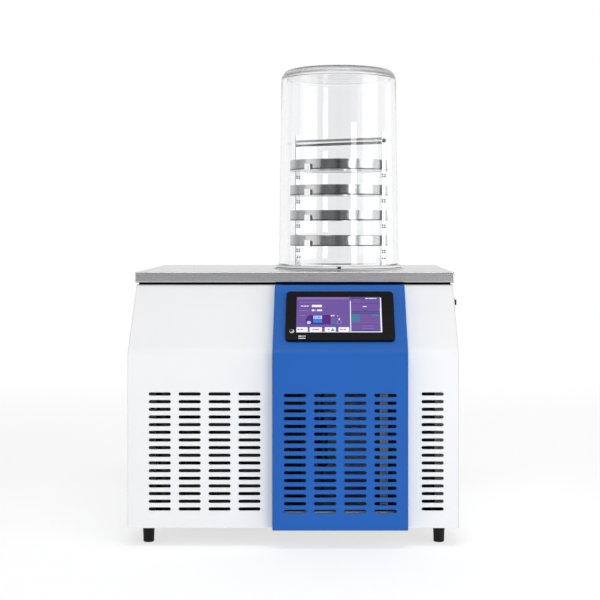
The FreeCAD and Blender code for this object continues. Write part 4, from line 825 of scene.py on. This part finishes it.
# %% One fin
RIPPLE = 900.0                  # radians of the wave for each metre of a fin's height
fin_tree, given = new_tree("condenser_fins", Thickness=0.00025, Depth=0.012, Height=0.025,
                           Wave=0.0004)
size = put(fin_tree, "ShaderNodeCombineXYZ", {0: given["Thickness"], 1: given["Depth"],
                                              2: given["Height"]})
sheet = put(fin_tree, "GeometryNodeMeshCube", {"Size": size.outputs[0], "Vertices X": 2,
                                               "Vertices Y": 2, "Vertices Z": 8})
position = put(fin_tree, "GeometryNodeInputPosition").outputs[0]
height = put(fin_tree, "ShaderNodeSeparateXYZ", {0: position}).outputs["Z"]
swing = calc(fin_tree, "SINE", calc(fin_tree, "MULTIPLY", height, RIPPLE))
sway = put(fin_tree, "ShaderNodeCombineXYZ", {0: calc(fin_tree, "MULTIPLY", swing,
                                                      given["Wave"])})
moved = put(fin_tree, "GeometryNodeSetPosition", {"Geometry": sheet.outputs[0],
                                                  "Offset": sway.outputs[0]})
close_tree(fin_tree, given, moved.outputs[0])

# %% Fin packs
fin_low, fin_high = (corner * 1000 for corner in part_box("condenser_fins"))
levels, tube, fin_step, fin_inset = 8, 3.0, 3, 1
level_step = (fin_high.z - fin_low.z + tube) / levels
fin_count = int((fin_high.x - fin_low.x) / fin_step)
black_fin = finish("black_fin_coat", (0.02, 0.02, 0.022), 0.5, grain=900, bump=0.2, mottle=0.2)
first_fin = (fin_low.x + fin_inset, (fin_low.y + fin_high.y) / 2,
             fin_low.z + (level_step - tube) / 2)
fins = repeat("fin_pack", fin_tree, "aluminium", black_fin, first_fin,
              (fin_count, (fin_step, 0, 0)), (levels, (0, 0, level_step)), Thickness=0.25,
              Depth=fin_high.y - fin_low.y, Height=level_step - tube, Wave=0.4)
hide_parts("condenser_fins")
dress("condenser_core", black_fin)

# %% [markdown]
# ## A dark mat behind the rear vents
# A mat of dimpled black foam lies against the rear vents, a dark sheet that puts painted shade
# behind the slots in place of the bright floor beyond. Its face rises and falls as the product of
# two sine waves, the shape that a convoluting roller cuts.

# %% Dark mat behind the vents
across, up, pitch = 84, 60, mm(3.4)
mat_low, mat_back, dimple = mm(-245, 244, 88), mm(258), mm(3)
points, faces = [], []
for j in range(up + 1):
    for i in range(across + 1):
        inside = 0 < i < across and 0 < j < up
        waves = math.sin(i * math.pi / 2) * math.sin(j * math.pi / 2)
        dip = dimple * (1 + waves) if inside else 0
        points.append((mat_low.x + i * pitch, mat_low.y + dip, mat_low.z + j * pitch))
for j in range(up):
    for i in range(across):
        near = j * (across + 1) + i
        faces.append([near, near + 1, near + across + 2, near + across + 1])
rim = (list(range(across)) + [j * (across + 1) + across for j in range(up)]
       + [up * (across + 1) + i for i in range(across, 0, -1)]
       + [j * (across + 1) for j in range(up, 0, -1)])
start = len(points)
points += [(points[i][0], mat_back, points[i][2]) for i in rim]
for k in range(len(rim)):
    after = (k + 1) % len(rim)
    faces.append([rim[after], rim[k], start + k, start + after])
faces.append([start + k for k in reversed(range(len(rim)))])
# Painted shade: a near-black mat, so the slots stay dark where the floor would show through.
shade_mat_foam = finish("painted_shade_mat_foam", (0.006, 0.006, 0.006), 0.9, grain=500, bump=0.8,
                     mottle=0.2, Specular_IOR_Level=0.1)
solid("vent_shade_mat", points, faces, shade_mat_foam, "foot_rubber")
print("filter", len(faces), "faces")

# %% [markdown]
# ## The touch screen
# The controller's screen shows a process page: a machine drawing with a live reading, a row of
# four buttons and a pane of fields. All of it here is generic, laid out in millimetres from the
# screen's lower left corner and cut from thin glowing sheets just above the glass.

# %% Screen coordinates
cover_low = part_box("front_cover")[0] * 1000
slope_foot_z, half_root = 351, math.sqrt(0.5)
SCREEN = (5.1, 45.3, 6.4)       # lower left corner: across, up the slope and out of it
PAGE_WIDTH = 156.5
LOW, MIDDLE, TOP = 0.05, 0.11, 0.17     # how far a layer of the page lies above the glass


def on_slope(x, t, n):
    """A point of the 45 degree slope: across, up the slope and out of it, in millimetres."""
    return mm(x, cover_low.y + (t - n) * half_root, slope_foot_z + (t + n) * half_root)


def glowing(name, colour):
    """A lit area of the display: dark in itself, and glowing with an even back light."""
    unlit = [0.05 * c for c in colour]
    return finish(name, unlit, 0.2, grain=3000, mottle=0.06, patch=25,
                  Emission_Color=(*colour, 1), Emission_Strength=1.0)


def tiles(name, material, shapes, slot="screen_glass", thick=0.05, lift=LOW, origin=SCREEN):
    """Thin prisms on the slope, one for each outline of (u, v) points, counterclockwise."""
    points, faces = [], []
    left, bottom, surface = origin
    for outline in shapes:
        start, count = len(points), len(outline)
        for n in (surface + lift, surface + lift + thick):
            points += [on_slope(left + u, bottom + v, n) for u, v in outline]
        faces.append([start + i for i in reversed(range(count))])
        faces.append([start + count + i for i in range(count)])
        faces += [[start + i, start + (i + 1) % count, start + count + (i + 1) % count,
                   start + count + i] for i in range(count)]
    solid(name, points, faces, material, slot, crease=20)


def bar(u0, v0, u1, v1):
    """A rectangle's outline."""
    return [(u0, v0), (u1, v0), (u1, v1), (u0, v1)]


def words(u, v, height, *lengths):
    """Small bars in a row, as a line of print looks from a distance."""
    bars = []
    for length in lengths:
        bars.append(bar(u, v, u + length, v + height))
        u += length + height * 0.5
    return bars


def button(u0, v0, u1, v1, radius=1.6, count=4):
    """A rectangle with round corners."""
    outline = []
    for u, v, start in ((u1 - radius, v0 + radius, -90), (u1 - radius, v1 - radius, 0),
                        (u0 + radius, v1 - radius, 90), (u0 + radius, v0 + radius, 180)):
        outline += arc(u, v, radius, start, start + 90, count)
    return outline


def disc_at(u, v, radius, count=20):
    """A round outline."""
    return arc(u, v, radius, 0, 360 * (count - 1) / count, count - 1)


# %% Lit colours
lit = {name: glowing("screen_" + name, colour) for name, colour in (
    ("white", (0.88, 0.86, 0.98)), ("rose", (0.27, 0.14, 0.42)), ("lilac", (0.25, 0.17, 0.50)),
    ("deep", (0.062, 0.045, 0.23)), ("violet", (0.070, 0.002, 0.19)),
    ("sky", (0.40, 0.62, 0.95)), ("blue", (0.022, 0.19, 0.62)), ("teal", (0.030, 0.19, 0.30)),
    ("mint", (0.02, 0.32, 0.30)), ("plum", (0.165, 0.064, 0.29)))}
dress("display_screen", glowing("screen_back_light", (0.135, 0.070, 0.320)))
print("lit colours", *lit)

# %% Frame, headings and lines of the page
tiles("page_frame", lit["white"], [bar(98.4, 0, 100.0, 76), bar(153.6, 0, 156.2, 60),
                                   bar(154.2, 60, 156.2, 84), bar(0, 0, 98.4, 1.2),
                                   bar(100.0, 0, 153.6, 2.0), bar(28, 61, 46.5, 66.5)]
      + words(28, 51, 4.0, 5, 1, 9) + words(8, 62.4, 2.2, 4, 5, 3) + words(63, 38.6, 3.0, 3, 2)
      + words(127, 81.5, 1.8, 6, 10, 3) + words(122, 61.5, 1.8, 7)
      + [disc_at(75.5, 39.5, 0.9, 10), disc_at(78.5, 31.5, 1.6, 12)])
tiles("page_header", lit["rose"], [bar(1, 80.5, 97, 84.5), bar(101, 71.5, 117, 72.3),
                                   bar(101, 21.6, 152, 22.4)]
      + words(6, 71.5, 1.4, 9, 6, 12, 8) + words(122, 14.5, 1.4, 5, 3, 9))
tiles("page_marks", lit["lilac"], words(5, 52, 1.6, 4, 6, 5) + words(6, 40, 1.4, 4, 6)
      + words(50, 60, 1.8, 3) + words(76, 35.5, 1.2, 2, 2) + words(104, 78, 1.4, 8, 5)
      + [bar(120, 9, 142, 10), disc_at(78.5, 24, 4.6)])
tiles("page_tint", lit["plum"], [bar(117.5, 24, 151.5, 37.5)])
tiles("page_bands", lit["deep"], [bar(101, 80.5, 124, 84.5), bar(101, 68.6, 152, 70),
                                  bar(101, 48, 152, 51), bar(101, 44.6, 152, 46.4),
                                  bar(101, 19.4, 152, 21), bar(124, 51.6, 131, 53.6),
                                  bar(101, 3, 152, 5)])

# %% Machine drawing, fields and buttons of the page
tiles("page_machine", lit["violet"], [[(17, 19), (62.7, 19), (62.7, 41.5), (24, 41.5),
                                       (19, 36), (17, 30)]])
tiles("page_reading", lit["sky"], [bar(31, 32.5, 47, 40), disc_at(22.8, 23.4, 3.8)],
      lift=MIDDLE)
tiles("page_level", lit["blue"], [bar(31, 23, 47, 32.5)] + words(33, 35, 2.6, 2, 2, 4), lift=TOP)
tiles("page_fields", lit["teal"], [bar(101.5, 25, 116.5, 43.6), bar(138, 38.5, 151.5, 43.6),
                                   bar(64.5, 29, 69.5, 31.5), bar(64.5, 21.5, 70.5, 25.5)],
      lift=MIDDLE)
tiles("page_pump", lit["deep"], [disc_at(78.5, 24, 2.8)], lift=MIDDLE)
tiles("page_buttons", lit["white"], [button(0.5, 1.2, 21, 12.2), button(24.5, 1.2, 47, 12.2),
                                     button(52, 1.2, 72, 12.2), button(77, 1.2, 96.5, 12.2)],
      lift=MIDDLE)
tiles("page_button_marks", lit["deep"], words(2.5, 5.6, 2.4, 3, 1, 3) + words(30, 6, 2.0, 3, 7)
      + words(57.5, 6, 2.4, 3) + words(80, 5.6, 2.2, 3, 2, 3), lift=TOP)
tiles("page_start_mark", lit["mint"], [[(62.5, 3), (70.5, 3), (66.5, 10.5)]], lift=TOP)
print("screen page from", SCREEN[0], "to", round(SCREEN[0] + PAGE_WIDTH, 1), "mm across")

# %% [markdown]
# ## Marks on the bezel
# At its lower left the bezel has a round lamp ring with a dark eye, and beside it two small
# printed lines, here plain bars. They are laid on with the page's own tool, from another corner.

# %% Bezel marks
mark_ink = finish("bezel_mark_ink", (0.62, 0.62, 0.62), 0.4, grain=900, bump=0.05)
BEZEL = (-14.5, 28.0, 7.0)
for name, material, shapes, slot, thick, lift in (
        ("ring", mark_ink, [disc_at(12, 19.4, 4.4)], "gauge_metal", 0.1, 0.0),
        ("eye", black_abs, [disc_at(11.4, 20.0, 3.3)], "bezel_plastic", 0.05, 0.1),
        ("core", mark_ink, [disc_at(12.6, 18.6, 1.5)], "gauge_metal", 0.05, 0.15)):
    tiles("bezel_lamp_" + name, material, shapes, slot, thick, lift, BEZEL)
tiles("bezel_print", mark_ink, words(24, 6.4, 2.8, 6, 2, 2) + [bar(24, 1.8, 36.5, 4.0)],
      "gauge_metal", 0.05, 0.0, BEZEL)
print("bezel marks from", BEZEL[0], "mm across")

# %% [markdown]
# ## Seal under the worktop
# A black foam strip closes the gap between the sheet body and the steel worktop. Its black is
# partly the strip's own and partly painted shade for the gap, and it shows as one thin dark line
# across the machine.

# %% Gap seal
top_low, top_high = (corner * 1000 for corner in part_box("worktop"))
seal_base, seal_top = 469.0, top_low.z - 0.1


def inside_worktop(side, front, back):
    """The corners of a rectangle that lies this far inside the worktop's outline."""
    return [(top_low.x + side, top_low.y + front), (top_high.x - side, top_low.y + front),
            (top_high.x - side, top_high.y - back), (top_low.x + side, top_high.y - back)]


outer, inner = inside_worktop(7, 7, 4), inside_worktop(12, 13, 9)
points = [mm(x, y, z) for ring in (outer, inner) for z in (seal_base, seal_top)
          for x, y in ring]
faces = []
for i in range(4):
    j = (i + 1) % 4
    faces += [[i, j, 4 + j, 4 + i], [8 + j, 8 + i, 12 + i, 12 + j],
              [4 + i, 4 + j, 12 + j, 12 + i], [j, i, 8 + i, 8 + j]]
# Near-black: the strip's own black and painted shade for the gap under the worktop.
seal_and_gap_shade = finish("black_seal_and_gap_shade", (0.003, 0.003, 0.003), 0.9, grain=600, bump=0.6,
                   mottle=0.2, Specular_IOR_Level=0.05)
solid("worktop_seal", points, faces, seal_and_gap_shade, "foot_rubber")
print("seal", round(seal_top - seal_base, 2), "mm tall")

# %% [markdown]
# ## The size of the scene
# The last cell prints the box of everything that renders, leaving out the floor.

# %% Size and finish
low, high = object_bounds()
print("visual box", [round(v, 4) for v in low], [round(v, 4) for v in high])
